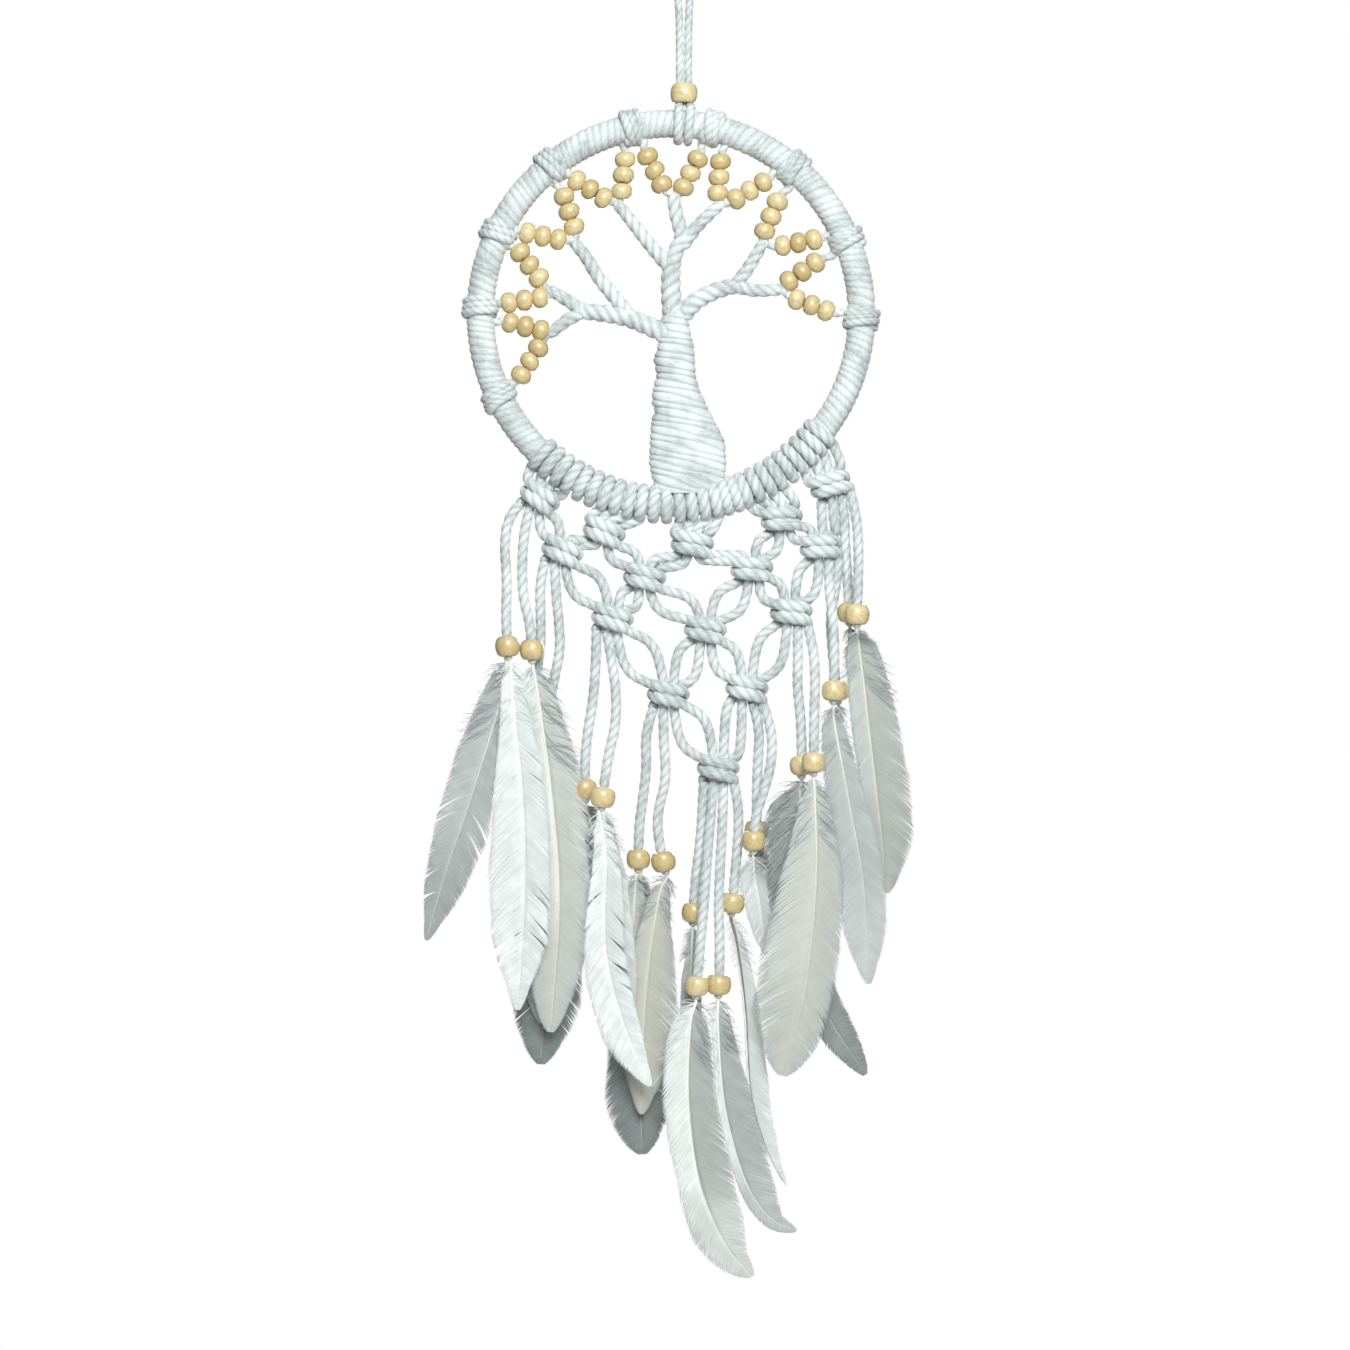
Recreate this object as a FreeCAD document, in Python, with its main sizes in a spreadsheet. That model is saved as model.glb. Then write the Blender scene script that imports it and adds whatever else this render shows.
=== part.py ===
import FreeCAD, Part

import math
import os

import Sketcher

# A macrame dream catcher with a tree inside its hoop, hung from one doubled cord.
# Millimetres, X to the right, Y away from the viewer, Z up. The origin is the inside of the
# top bend of the hanging loop, where a nail or hook carries it. The hoop's plane is y = 0.

Vector = FreeCAD.Vector

SIZES = {
    "hoop_radius": 80.0,  # to the middle of the rod
    "rod_diameter": 6.0,
    "wrap_diameter": 12.0,  # outside of the cord wound on the rod
    "wrap_clearance": 0.1,  # on the diameter, between the rod, its wrap and what is tied on it
    "band_diameter": 15.6,  # outside of the lashings and hitches over the wrap
    "lashing_angle": 7.0,  # degrees of the hoop that one lashing covers
    "hitch_angle": 6.2,  # degrees of the hoop that one lark's head covers
    "cord_diameter": 4.0,  # the knotted net and the strands below it
    "loop_cord_diameter": 3.4,
    "string_diameter": 1.5,  # the thin cord that carries the beads in the tree
    "bore_clearance": 0.3,  # on the diameter, between a bead's bore and its cord
    "bead_land": 0.3,  # the flat rim round a bead's bore
    "tree_bead_diameter": 8.0,
    "tree_bead_height": 6.5,
    "strand_bead_diameter": 9.8,
    "strand_bead_height": 8.2,
    "top_bead_diameter": 11.2,
    "top_bead_height": 8.0,
    "top_bore_diameter": 7.1,
    "knot_width": 16.6,
    "knot_height": 9.5,
    "knot_depth": 9.0,
    "knot_round": 3.4,
    "trunk_depth": 7.5,  # half of the trunk's depth at its base
    "trunk_wrap": 2.8,  # thickness of the cord wound on the trunk
    "vane_thickness": 0.8,
    "quill_diameter": 1.6,
}

HOOP_CENTRE = Vector(-5.5, 0, -153)
UPRIGHT = FreeCAD.Rotation(Vector(1, 0, 0), 90)  # turns a flat ring to stand in the XZ plane

LASHING_ANGLES = [206, 178, 155, 129, 102, 77.5, 50, 22.7, -1.5]
HANGER_ANGLE = 86.1
# Two lark's heads stand over each knot of the net's first row.
HITCH_ANGLES = {
    "k11": (229.5, 237.5),
    "k12": (248.5, 256.8),
    "k13": (271.6, 279.8),
    "k14": (294.5, 302.5),
    "k15": (310.5, 318.5),
}

# The net's square knots: centre x and z, and tilt in degrees.
KNOTS = {
    "k11": (-60.5, -230, -24),
    "k12": (-33.5, -244.5, -10),
    "k13": (3.5, -249.5, 2),
    "k14": (41, -239, 14),
    "k15": (61.5, -224.5, 28),
    "k21": (-51, -252.5, -12),
    "k22": (-16.5, -263.5, -2),
    "k23": (28.5, -260, 8),
    "k24": (57.5, -250.5, 14),
    "k31": (-30, -280.5, -5),
    "k32": (9, -285.5, 0),
    "k33": (45, -278, 6),
    "k41": (-6.5, -312.5, 0),
    "k42": (26.5, -310, 0),
    "k51": (14.5, -343.5, 0),
}
KNOT_ROWS = {
    row: [name for name in KNOTS if name[1] == str(row)] for row in range(1, 6)
}
SLOT_PITCH = 4.15  # four cords leave a knot side by side
# Each pair of cords between two knots opens into a leaf; the number is how far each bows out.
LEAVES = {
    ("k11", "k21"): 1.6,
    ("k12", "k21"): 1.8,
    ("k12", "k22"): 1.8,
    ("k13", "k22"): 1.8,
    ("k13", "k23"): 1.8,
    ("k14", "k23"): 1.8,
    ("k14", "k24"): 1.4,
    ("k15", "k24"): 0.6,
    ("k21", "k31"): 2.2,
    ("k22", "k31"): 2.2,
    ("k22", "k32"): 2.2,
    ("k23", "k32"): 2.2,
    ("k23", "k33"): 2.0,
    ("k24", "k33"): 2.6,
    ("k31", "k41"): 4.6,
    ("k32", "k41"): 2.8,
    ("k32", "k42"): 2.8,
    ("k33", "k42"): 3.6,
    ("k41", "k51"): 2.6,
    ("k42", "k51"): 1.8,
}

# The trunk's sections: z, middle x and half width.
TRUNK = [
    (-158, -3.6, 6.2),
    (-171, -4, 8.4),
    (-184, -3, 9.8),
    (-194, -0.6, 11.8),
    (-206, 1.2, 15.6),
    (-225.4, 1.6, 14.2),
]
TRUNK_TOP_DEPTH = 0.82  # of the half width, until trunk_depth is reached

# Branches: diameter and route of each length of wrapped cord, x and z.
BRANCH_LEFT = [
    (5.8, [(-3.5, -164), (-14.5, -158.5), (-24, -154.6), (-35.5, -152.5), (-45, -151.6)]),
    (4.6, [(-42, -151.8), (-49, -155.4), (-54.2, -159.6)]),
    (4.6, [(-42, -152.2), (-48, -147.8), (-53.6, -144.6)]),
    (4.6, [(-22, -155.5), (-26.5, -149), (-35.5, -138), (-41.5, -128.5), (-44.8, -123.6)]),
]
BRANCH_TOP = [
    (7.6, [(-3.6, -162), (-5.4, -145), (-5.4, -131.5)]),
    (6.2, [(-5.4, -135), (-3.6, -127), (-1, -120.5), (-3, -112), (-4.8, -105.6)]),
    (4.8, [(-5.4, -133), (-14.5, -123.5), (-22, -114), (-27.6, -107.2)]),
    (4.8, [(-1.6, -124.5), (6, -115.5), (13.6, -109)]),
]
BRANCH_RIGHT = [
    (6, [(-2, -154), (5, -147.5), (14, -143), (24, -140.5)]),
    (4.8, [(21, -141.3), (27, -133.5), (30.4, -124.6)]),
    (4.8, [(21, -141), (30, -143), (38.4, -142.6)]),
]

# The tree's beads, three to a leg of the zigzag string: the first and the last bead's middle,
# x and z from the middle of the hoop.
LEGS = {
    "left": [
        ((-55.6, -14.2), (-62.8, -25.5)),
        ((-67.4, -3.6), (-54.6, -6.8)),
        ((-68, 4.8), (-55, 6.9)),
        ((-63.2, 25.9), (-55.4, 15.2)),
        ((-60.2, 34), (-47.2, 31.4)),
        ((-44.8, 49.4), (-40.6, 36.6)),
    ],
    "top": [
        ((-39.5, 56), (-28.3, 48.8)),
        ((-20.6, 51.6), (-19.2, 64.9)),
        ((-9.8, 66.2), (-3.8, 54.4)),
        ((5.2, 53.2), (11.2, 65)),
        ((20.8, 64), (19.6, 50.8)),
        ((27.4, 48.3), (38.8, 55.3)),
    ],
    "right": [
        ((44.7, 47.1), (39.4, 34.8)),
        ((46.9, 28.7), (60, 31.2)),
        ((60.6, 21.6), (49.6, 14)),
        ((52.8, 6.1), (65.2, 1.4)),
    ],
}
BEADS_PER_LEG = 3
STRING_GAP = 0.9  # between a leg's middle line and the hoop's wrap, inside the lashing
STRING_TO_TIP = 3.8  # from the middle of a leg's end bead to the branch

# The strands below the net. Each starts under its knot, in slot 0 to 3 from the left, and its
# last point is the middle of its bead: x, y, z.
STRANDS = {
    "k11": [
        (0, [(-73.5, -0.5, -237), (-75.5, -2, -250), (-74, -4, -264), (-74.6, -6, -280),
             (-73.8, -6, -292.5)]),
        (1, [(-67, -0.5, -243), (-68, -1.5, -257), (-67.6, -2, -272), (-64.4, -2, -283),
             (-63.8, -2, -294)]),
    ],
    "k21": [
        (0, [(-60.6, 1, -264), (-60.4, 3.8, -279), (-60.4, 5.8, -295), (-64, 5.8, -311),
             (-65.8, 5.8, -323)]),
        (1, [(-54, 0.6, -269), (-52.6, 2, -282), (-52, 3.5, -294), (-55, 5.5, -307),
             (-57, 6, -320), (-56.4, 6, -332)]),
    ],
    "k31": [
        (0, [(-37, 0.6, -298), (-38, 1.5, -314), (-40.8, 2.4, -330), (-41.8, 2.4, -342),
             (-41.6, 2.4, -352.5)]),
        (1, [(-30.5, -1, -297), (-28.4, -3, -311), (-28.4, -4.6, -325), (-32.4, -5.2, -341),
             (-34, -5.2, -355.5)]),
    ],
    "k41": [
        (0, [(-16.4, 1, -328), (-15.6, 2.4, -343), (-17.4, 3.6, -357), (-19.2, 4, -370),
             (-19.2, 4, -382)]),
        (1, [(-8.8, 1, -331), (-7.2, 2.4, -348), (-11.2, 3.6, -362), (-11, 4, -373),
             (-8.7, 4, -383)]),
    ],
    "k51": [
        (0, [(7.8, 1.4, -361), (6.8, 3.4, -376), (4.6, 4.6, -391), (4, 4.6, -404.5)]),
        (1, [(11.2, -1.4, -364), (9.6, -3, -382), (8.4, -4, -400), (6.6, -4.6, -418),
             (5.4, -4.6, -434.5)]),
        (2, [(16.2, 0.4, -365), (15.2, 0.6, -384), (14.4, 0.8, -402), (15.2, 0.8, -419),
             (14.6, 0.8, -434.5)]),
        (3, [(22.8, 1.6, -357), (23, 4.4, -371), (21.8, 5, -386), (20.4, 5, -400.5)]),
    ],
    "k42": [
        (2, [(32, 3.4, -326), (31.2, 5, -340), (30.6, 7.8, -355), (30.8, 8.4, -370)]),
        (3, [(36.6, 0.4, -325), (37.2, 0, -340), (33.4, -1, -354), (29.6, -1.6, -364),
             (29.2, -1.6, -374)]),
    ],
    "k33": [
        (2, [(48, 1.4, -295), (47.6, 3, -310), (49.6, 5, -325), (49.6, 5, -342.5)]),
        (3, [(54.4, -1.4, -293), (55, -4, -307), (54.4, -5.2, -323), (54.2, -5.4, -341)]),
    ],
    "k24": [
        (2, [(60.6, -2.4, -267), (62.4, -4.6, -281), (63, -6, -296), (62.6, -6, -311)]),
        (3, [(64.4, 3.2, -266), (61.6, 4.6, -279), (62.4, 4.8, -294), (64.4, 4.2, -311)]),
    ],
    "k15": [
        (2, [(67.6, 2.6, -238), (67.8, 5, -249), (69, 7.4, -262), (69.8, 8, -278)]),
        (3, [(72.4, -1.6, -238), (73.2, -2.2, -251), (73, -2, -265), (72.6, -2, -279)]),
    ],
}
STRAND_GAP = 1.0  # below the knot, so that the strands can swing

# The feathers: strand number, layer y, the rachis from the bead to the tip as x and z, the
# vane's widths left and right of it, and where along it the vane is widest, 0 to 1.
FEATHERS = {
    "k11": {
        "feather_front_left": [
            (0, -8.4, [(-72, -312), (-67.4, -357), (-66.6, -399), (-69.5, -445)], 12, 8, 0.6),
        ],
        "feather_far_left": [
            (0, -5.2, [(-76, -312), (-88, -352), (-100, -388), (-108, -416)], 8, 10, 0.5),
        ],
        "feather_left_inner": [
            (1, -2, [(-61, -315), (-55.4, -357), (-52.4, -399), (-56, -455)], 10, 9.6, 0.6),
        ],
    },
    "k21": {
        "feathers_left_rear": [
            (0, 4.4, [(-66, -345), (-63, -395), (-60, -452)], 10, 12, 0.6),
            (1, 7.6, [(-57, -352), (-57, -405), (-60.5, -469.5)], 11, 11, 0.65),
        ],
    },
    "k31": {
        "feathers_centre_left": [
            (0, 1.6, [(-38.6, -370), (-36.6, -384), (-36, -402)], 4, 5, 0.5),
            (1, -8, [(-33, -380), (-32.6, -420), (-25, -450), (-13.5, -476.5)], 7, 7, 0.6),
            (1, -4.8, [(-31.6, -378), (-27.6, -410), (-21.5, -444)], 5, 7, 0.5),
        ],
    },
    "k41": {
        "feathers_centre_rear": [
            (0, 7.6, [(-21, -400), (-22.5, -432), (-20.5, -474)], 9, 8, 0.5),
            (0, 11, [(-18, -400), (-20, -450), (-17.5, -508)], 13, 11.5, 0.75),
            (1, 4.6, [(-8.8, -402), (-8.6, -430), (-9.6, -462), (-12, -494)], 9, 9.6, 0.5),
        ],
    },
    "k51": {
        "feather_lowest": [
            (1, -5, [(2.4, -452), (1.8, -483), (6.5, -517), (17, -542), (29, -556.5)],
             8.4, 16, 0.6),
        ],
        "feather_lowest_right": [
            (2, -0.8, [(14.2, -452), (17, -485), (25.5, -516), (36, -532), (47.5, -538)],
             4.6, 11, 0.45),
        ],
        "feather_narrow_left": [
            (0, 2.6, [(3.2, -420), (2.4, -445), (2.6, -476)], 4, 5, 0.5),
        ],
        "feather_narrow_right": [
            (3, 3.2, [(22.4, -418), (26, -445), (28.2, -480), (34, -502), (43, -520)],
             3, 6, 0.7),
        ],
    },
    "k42": {
        "feathers_short_right": [
            (1, 1.6, [(29.6, -388), (32, -402), (34, -422)], 5, 6, 0.5),
            (0, 8, [(32, -384), (35.6, -400), (38.6, -418)], 5, 6, 0.5),
        ],
    },
    "k33": {
        "feathers_broad_right": [
            (1, -6.6, [(54.6, -356), (55, -391), (50.4, -436), (41, -472.5)], 17, 12.4, 0.45),
            (0, 0.6, [(48.6, -356), (49, -400), (57, -440), (76.5, -473)], 9, 8, 0.5),
        ],
    },
    "k24": {
        "feathers_inner_right": [
            (0, -2.4, [(63.2, -326), (69, -357), (75, -391), (77.5, -434.5)], 8, 9.6, 0.65),
            (1, 1.6, [(64.8, -330), (68, -360), (71, -395), (74.5, -425)], 3, 5, 0.5),
        ],
    },
    "k15": {
        "feathers_far_right": [
            (1, 5.2, [(74, -294), (78.4, -330), (82.6, -366), (85.4, -397)], 7, 14, 0.6),
            (0, 8.8, [(71.6, -296), (75.4, -330), (79.4, -368)], 3.4, 7, 0.5),
        ],
    },
}
LEAF_GRIP = 1.5  # how far a net cord goes into its knots
LEAF_SHARES = (0.32, 0.68)  # along the cord, where it bows out most
HITCH_SPREAD = 3.0  # degrees of the hoop between the two cords of one lark's head
BRANCH_LABELS = ("branch_top", "branch_left", "branch_right")
LOOP_BEND = 2.2  # inside radius of the loop where it hangs on the nail
LOOP_GAP = 0.15
LOOP_FOOT = -64.8
TOP_BEAD_Z = -60.4
QUILL_TOP = 1.6  # below the middle of the bead
QUILL_BEND = 1.5  # of quill straight below the bead
QUILL_PITCH = 1.9  # between two quills in one bore
VANE_STATIONS = 7
VANE_BLUNTNESS = 0.6
VANE_START = 0.12  # of the rachis, bare below the bead

doc = FreeCAD.newDocument("DreamCatcher")
nodes = {}


def make_sheet():
    sheet = doc.addObject("Spreadsheet::Sheet", "Sizes")
    for row, (alias, value) in enumerate(SIZES.items(), start=1):
        sheet.set(f"A{row}", alias)
        sheet.set(f"B{row}", str(value))
        sheet.setAlias(f"B{row}", alias)
    doc.recompute()
    return sheet


def size(alias):
    return float(sizes.get(alias))


def bind(thing, **expressions):
    """Bind each named property to an expression of the sheet's cells."""
    for name, expression in expressions.items():
        for alias in SIZES:
            expression = expression.replace(f"[{alias}]", f"Sizes.{alias}")
        thing.setExpression(name, expression)
    return thing


def keep(thing, label):
    """Give a finished sub-part the label that names its file."""
    thing.Label = label
    nodes[label] = thing
    return thing


def keep_shape(label, solids):
    """A sub-part of loose solids, such as a row of knots or a bundle of cords."""
    thing = doc.addObject("Part::Feature", label)
    thing.Shape = solids[0] if len(solids) == 1 else Part.makeCompound(solids)
    return keep(thing, label)


def cut(name, body, tool):
    thing = doc.addObject("Part::Cut", name)
    thing.Base = body
    thing.Tool = tool
    return thing


def together(name, things):
    thing = doc.addObject("Part::Compound", name)
    thing.Links = things
    return thing


def cleared(solid, neighbours):
    """The solid without the room of its neighbours' solids, as its largest piece."""
    tools = [tool for shape in neighbours for tool in shape.Solids]
    near = [tool for tool in tools if tool.BoundBox.intersect(solid.BoundBox)]
    if not near:
        return solid
    return max(solid.cut(near).Solids, key=lambda piece: piece.Volume)


def in_plane(points, y=0):
    """A route in the plane y, from its x and z."""
    return [Vector(x, y, z) for x, z in points]


def unit(vector):
    return Vector(vector).normalize()


# --- cords ---------------------------------------------------------------------------------


def rounded_path(points):
    """Straight runs joined by tangent arcs as large as the runs allow, and the least radius."""
    edges, radii, start = [], [], points[0]
    for before, corner, after in zip(points, points[1:], points[2:]):
        come = corner - before
        go = after - corner
        half_turn = come.getAngle(go) / 2
        reach = 0.45 * min(come.Length, go.Length)
        radius = reach / math.tan(half_turn)
        arc_start = corner - unit(come) * reach
        arc_end = corner + unit(go) * reach
        inward = unit(unit(go) - unit(come))
        middle = corner + inward * (radius / math.cos(half_turn) - radius)
        edges.append(Part.LineSegment(start, arc_start).toShape())
        edges.append(Part.Arc(arc_start, middle, arc_end).toShape())
        radii.append(radius)
        start = arc_end
    edges.append(Part.LineSegment(start, points[-1]).toShape())
    return Part.Wire(edges), min(radii, default=0)


def tube(points, diameter, name=None):
    """A round cord along a route. Naming it prints its length and its tightest bend."""
    path, tightest = rounded_path(points)
    ring = Part.Wire(Part.makeCircle(diameter / 2, points[0], points[1] - points[0]))
    solid = path.makePipeShell([ring], True, True)
    full = math.pi * diameter**2 / 4 * path.Length
    if not solid.isValid() or abs(solid.Volume / full - 1) > 0.01:
        raise RuntimeError(f"the tube {name} is {solid.Volume / full:.3f} of its volume")
    if name:
        print(f"{name}: {path.Length:.1f} mm long, tightest bend {tightest:.1f} mm")
    return solid


def hoop_point(angle, radius, y=0):
    turn = math.radians(angle)
    return HOOP_CENTRE + Vector(radius * math.cos(turn), y, radius * math.sin(turn))


def knot_point(knot, across, up):
    """A point in a knot's own frame, which its tilt turns."""
    x, z, tilt = KNOTS[knot]
    turn = math.radians(tilt)
    return Vector(
        x + across * math.cos(turn) - up * math.sin(turn),
        0,
        z + across * math.sin(turn) + up * math.cos(turn),
    )


def slot_offset(slot):
    return (slot - 1.5) * SLOT_PITCH


# --- hoop ----------------------------------------------------------------------------------


def ring(name, diameter, start=0, span=None):
    """A round ring on the hoop's line, or the stretch of it from start, span long."""
    thing = doc.addObject("Part::Torus", name)
    bind(thing, Radius1="[hoop_radius]", Radius2=f"({diameter}) / 2")
    if span:
        bind(thing, Angle3=span)
    turn = FreeCAD.Rotation(Vector(0, 0, 1), start)
    thing.Placement = FreeCAD.Placement(HOOP_CENTRE, UPRIGHT.multiply(turn))
    return thing


def band(name, middle, span):
    """A hollow stretch of cord wound over the hoop's wrap."""
    start = middle - size(span) / 2
    outside = ring(f"{name}_outside", "[band_diameter]", start, f"[{span}]")
    room = ring(f"{name}_room", "[wrap_diameter] + [wrap_clearance]")
    return cut(name, outside, room)


def make_hoop():
    keep(ring("rod", "[rod_diameter]"), "hoop_rod")
    outside = ring("wrap_outside", "[wrap_diameter]")
    inside = ring("wrap_inside", "[rod_diameter] + [wrap_clearance]")
    keep(cut("wrap", outside, inside), "hoop_wrap")
    bands = [band(f"lashing_{n}", a, "lashing_angle") for n, a in enumerate(LASHING_ANGLES)]
    keep(together("lashings", bands), "hoop_lashings")
    angles = [angle for pair in HITCH_ANGLES.values() for angle in pair]
    hitches = [band(f"hitch_{n}", a, "hitch_angle") for n, a in enumerate(angles)]
    keep(together("hitches", hitches), "net_hitches")
    keep(band("hanger", HANGER_ANGLE, "hitch_angle"), "hanger_hitch")
    doc.recompute()


# --- beads ---------------------------------------------------------------------------------


def bead_profile(body, name, diameter, height, bore):
    """Half of a bead's section: the bore, two narrow lands at its ends and a crowned side."""
    plane = next(part for part in body.Origin.OriginFeatures if part.Role == "XZ_Plane")
    sketch = body.newObject("Sketcher::SketchObject", f"{name}_profile")
    sketch.AttachmentSupport = (plane, [""])
    sketch.MapMode = "FlatFace"
    inner, outer, top = 1.0, 4.0, 3.0  # a first guess, which the constraints replace
    crown = Part.Circle(Vector(0, 0, 0), Vector(0, 0, 1), 5)
    sketch.addGeometry(Part.LineSegment(Vector(inner, -top, 0), Vector(inner, top, 0)))
    sketch.addGeometry(Part.LineSegment(Vector(inner, top, 0), Vector(outer, top, 0)))
    sketch.addGeometry(Part.ArcOfCircle(crown, -math.asin(top / 5), math.asin(top / 5)))
    sketch.addGeometry(Part.LineSegment(Vector(outer, -top, 0), Vector(inner, -top, 0)))
    rule = Sketcher.Constraint
    for first, end, second, begin in ((0, 2, 1, 1), (1, 2, 2, 2), (2, 1, 3, 1), (3, 2, 0, 1)):
        sketch.addConstraint(rule("Coincident", first, end, second, begin))
    sketch.addConstraint(rule("Horizontal", 1))
    sketch.addConstraint(rule("Horizontal", 3))
    sketch.addConstraint(rule("Symmetric", 0, 1, 0, 2, -1))
    sketch.addConstraint(rule("PointOnObject", 2, 3, -1))
    land = f"({bore}) / 2 + [bead_land]"
    crowning = f"([{diameter}] / 2 - ({land}))"
    driven = {
        "bore": (rule("DistanceX", -1, 1, 0, 1, inner), f"({bore}) / 2"),
        "height": (rule("DistanceY", 0, 1, 0, 2, 2 * top), f"[{height}]"),
        "land": (rule("DistanceX", -1, 1, 2, 1, outer), land),
        "crown": (
            rule("Radius", 2, 5),
            f"(([{height}] / 2) ^ 2 + {crowning} ^ 2) / (2 * {crowning})",
        ),
    }
    for label, (constraint, expression) in driven.items():
        sketch.renameConstraint(sketch.addConstraint(constraint), label)
        bind(sketch, **{f"Constraints.{label}": expression})
    return sketch


def bead(name, diameter, height, bore):
    """A drilled and turned wooden bead, its bore along Z."""
    body = doc.addObject("PartDesign::Body", name)
    sketch = bead_profile(body, name, diameter, height, bore)
    turned = body.newObject("PartDesign::Revolution", f"{name}_turned")
    turned.Profile = sketch
    turned.ReferenceAxis = (sketch, ["V_Axis"])
    turned.Angle = 360
    doc.recompute()
    return body


def placed(shape, point, direction=Vector(0, 0, 1)):
    """A copy of a shape made about Z, moved to a point and turned to a direction."""
    copy = shape.copy()
    turn = FreeCAD.Rotation(Vector(0, 0, 1), direction)
    copy.Placement = FreeCAD.Placement(point, turn).multiply(copy.Placement)
    return copy


# --- tree ----------------------------------------------------------------------------------


def trunk_loft(name, inset):
    """A smooth solid through the trunk's oval sections, each drawn in by the inset."""
    ovals = []
    for number, (z, x, half_width) in enumerate(TRUNK):
        oval = doc.addObject("Part::Ellipse", f"{name}_{number}")
        depth = f"min({half_width * TRUNK_TOP_DEPTH} mm; [trunk_depth] * 1 mm)"
        bind(oval, MajorRadius=f"{half_width} mm - {inset}", MinorRadius=f"{depth} - {inset}")
        oval.Placement.Base = Vector(x, 0, z)
        ovals.append(oval)
    loft = doc.addObject("Part::Loft", name)
    loft.Sections = ovals
    loft.Solid = True
    return loft


def make_trunk():
    """A core of rods and the thick cord wound on it, standing on the hoop and its hitches."""
    outside = trunk_loft("trunk_outside", "0 mm")
    inside = trunk_loft("trunk_inside", "[trunk_wrap] * 1 mm")
    foot = together("trunk_foot", [nodes["hoop_wrap"], nodes["net_hitches"]])
    skin = cut("trunk_skin", outside, inside)
    keep(cut("trunk_wound", skin, foot), "trunk_wrap")
    keep(cut("trunk_middle", inside, foot), "trunk_core")
    doc.recompute()


def branches(label, lengths, neighbours):
    """Wrapped cords that fork from one another, as one piece."""
    tubes = [tube(in_plane(route), diameter) for diameter, route in lengths]
    whole = tubes[0].multiFuse(tubes[1:])
    keep_shape(label, [cleared(whole.removeSplitter(), neighbours)])


def make_branches():
    trunk = [nodes["trunk_wrap"].Shape, nodes["trunk_core"].Shape]
    branches("branch_top", BRANCH_TOP, trunk)
    top = [nodes["branch_top"].Shape]
    branches("branch_left", BRANCH_LEFT, trunk + top)
    left = [nodes["branch_left"].Shape]
    branches("branch_right", BRANCH_RIGHT, trunk + top + left)


def length_to_wrap(point, way):
    """How far it is from a point inside the hoop, a given way, until just before the wrap."""
    inside = size("hoop_radius") - size("wrap_diameter") / 2 - STRING_GAP
    from_centre = point - HOOP_CENTRE
    along = from_centre.dot(way)
    return math.sqrt(along**2 - from_centre.Length**2 + inside**2) - along


def make_tree_beads():
    """Forty-eight beads on a thin string that zigzags between the hoop and the branch tips."""
    pattern = bead(
        "tree_bead", "tree_bead_diameter", "tree_bead_height",
        "[string_diameter] + [bore_clearance]",
    )
    held = [nodes[label].Shape for label in ("hoop_lashings", *BRANCH_LABELS)]
    string = []
    for side, legs in LEGS.items():
        beads = []
        for first, last in legs:
            start, end = (HOOP_CENTRE + point for point in in_plane([first, last]))
            along = end - start
            for number in range(BEADS_PER_LEG):
                middle = start + along * (number / (BEADS_PER_LEG - 1))
                beads.append(placed(pattern.Shape, middle, along))
            outer, inner = start, end
            if math.hypot(*first) < math.hypot(*last):
                outer, inner = end, start
            way = unit(outer - inner)
            reach = along.Length + STRING_TO_TIP + length_to_wrap(outer, way)
            tip = inner - way * STRING_TO_TIP
            leg = Part.makeCylinder(size("string_diameter") / 2, reach, tip, way)
            string.append(cleared(leg, held))
        keep_shape(f"tree_beads_{side}", beads)
    keep_shape("bead_string", string)


# --- net -----------------------------------------------------------------------------------


def make_knots():
    """Square knots, each as a rounded block, in a node for each row."""
    block = doc.addObject("Part::Box", "knot_block")
    bind(block, Length="[knot_width]", Width="[knot_depth]", Height="[knot_height]")
    block.Placement.Base = Vector(
        -size("knot_width") / 2, -size("knot_depth") / 2, -size("knot_height") / 2
    )
    doc.recompute()
    rounded = doc.addObject("Part::Fillet", "knot_rounded")
    rounded.Base = block
    radius = size("knot_round")
    rounded.Edges = [(number, radius, radius) for number in range(1, 13)]
    doc.recompute()
    hitches = [nodes["net_hitches"].Shape, nodes["hoop_wrap"].Shape]
    for row, names in KNOT_ROWS.items():
        knots = []
        for name in names:
            knot = rounded.Shape.copy()
            turn = FreeCAD.Rotation(Vector(0, -1, 0), KNOTS[name][2])
            spot = FreeCAD.Placement(knot_point(name, 0, 0), turn)
            knot.Placement = spot.multiply(knot.Placement)
            knots.append(cleared(knot, hitches))
        keep_shape(f"net_knots_row_{row}", knots)


def leaf_route(upper, lower, slot, bow):
    """A cord from under one knot to the top of the next, bowed away from its partner."""
    reach = size("knot_height") / 2 - LEAF_GRIP
    to_right = KNOTS[upper][0] < KNOTS[lower][0]
    top = knot_point(upper, slot_offset(slot + 2 if to_right else slot), -reach)
    end = knot_point(lower, slot_offset(slot if to_right else slot + 2), reach)
    along = end - top
    side = Vector(-along.z, 0, along.x).normalize() * (bow if slot else -bow)
    return [top] + [top + along * share + side for share in LEAF_SHARES] + [end]


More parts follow.
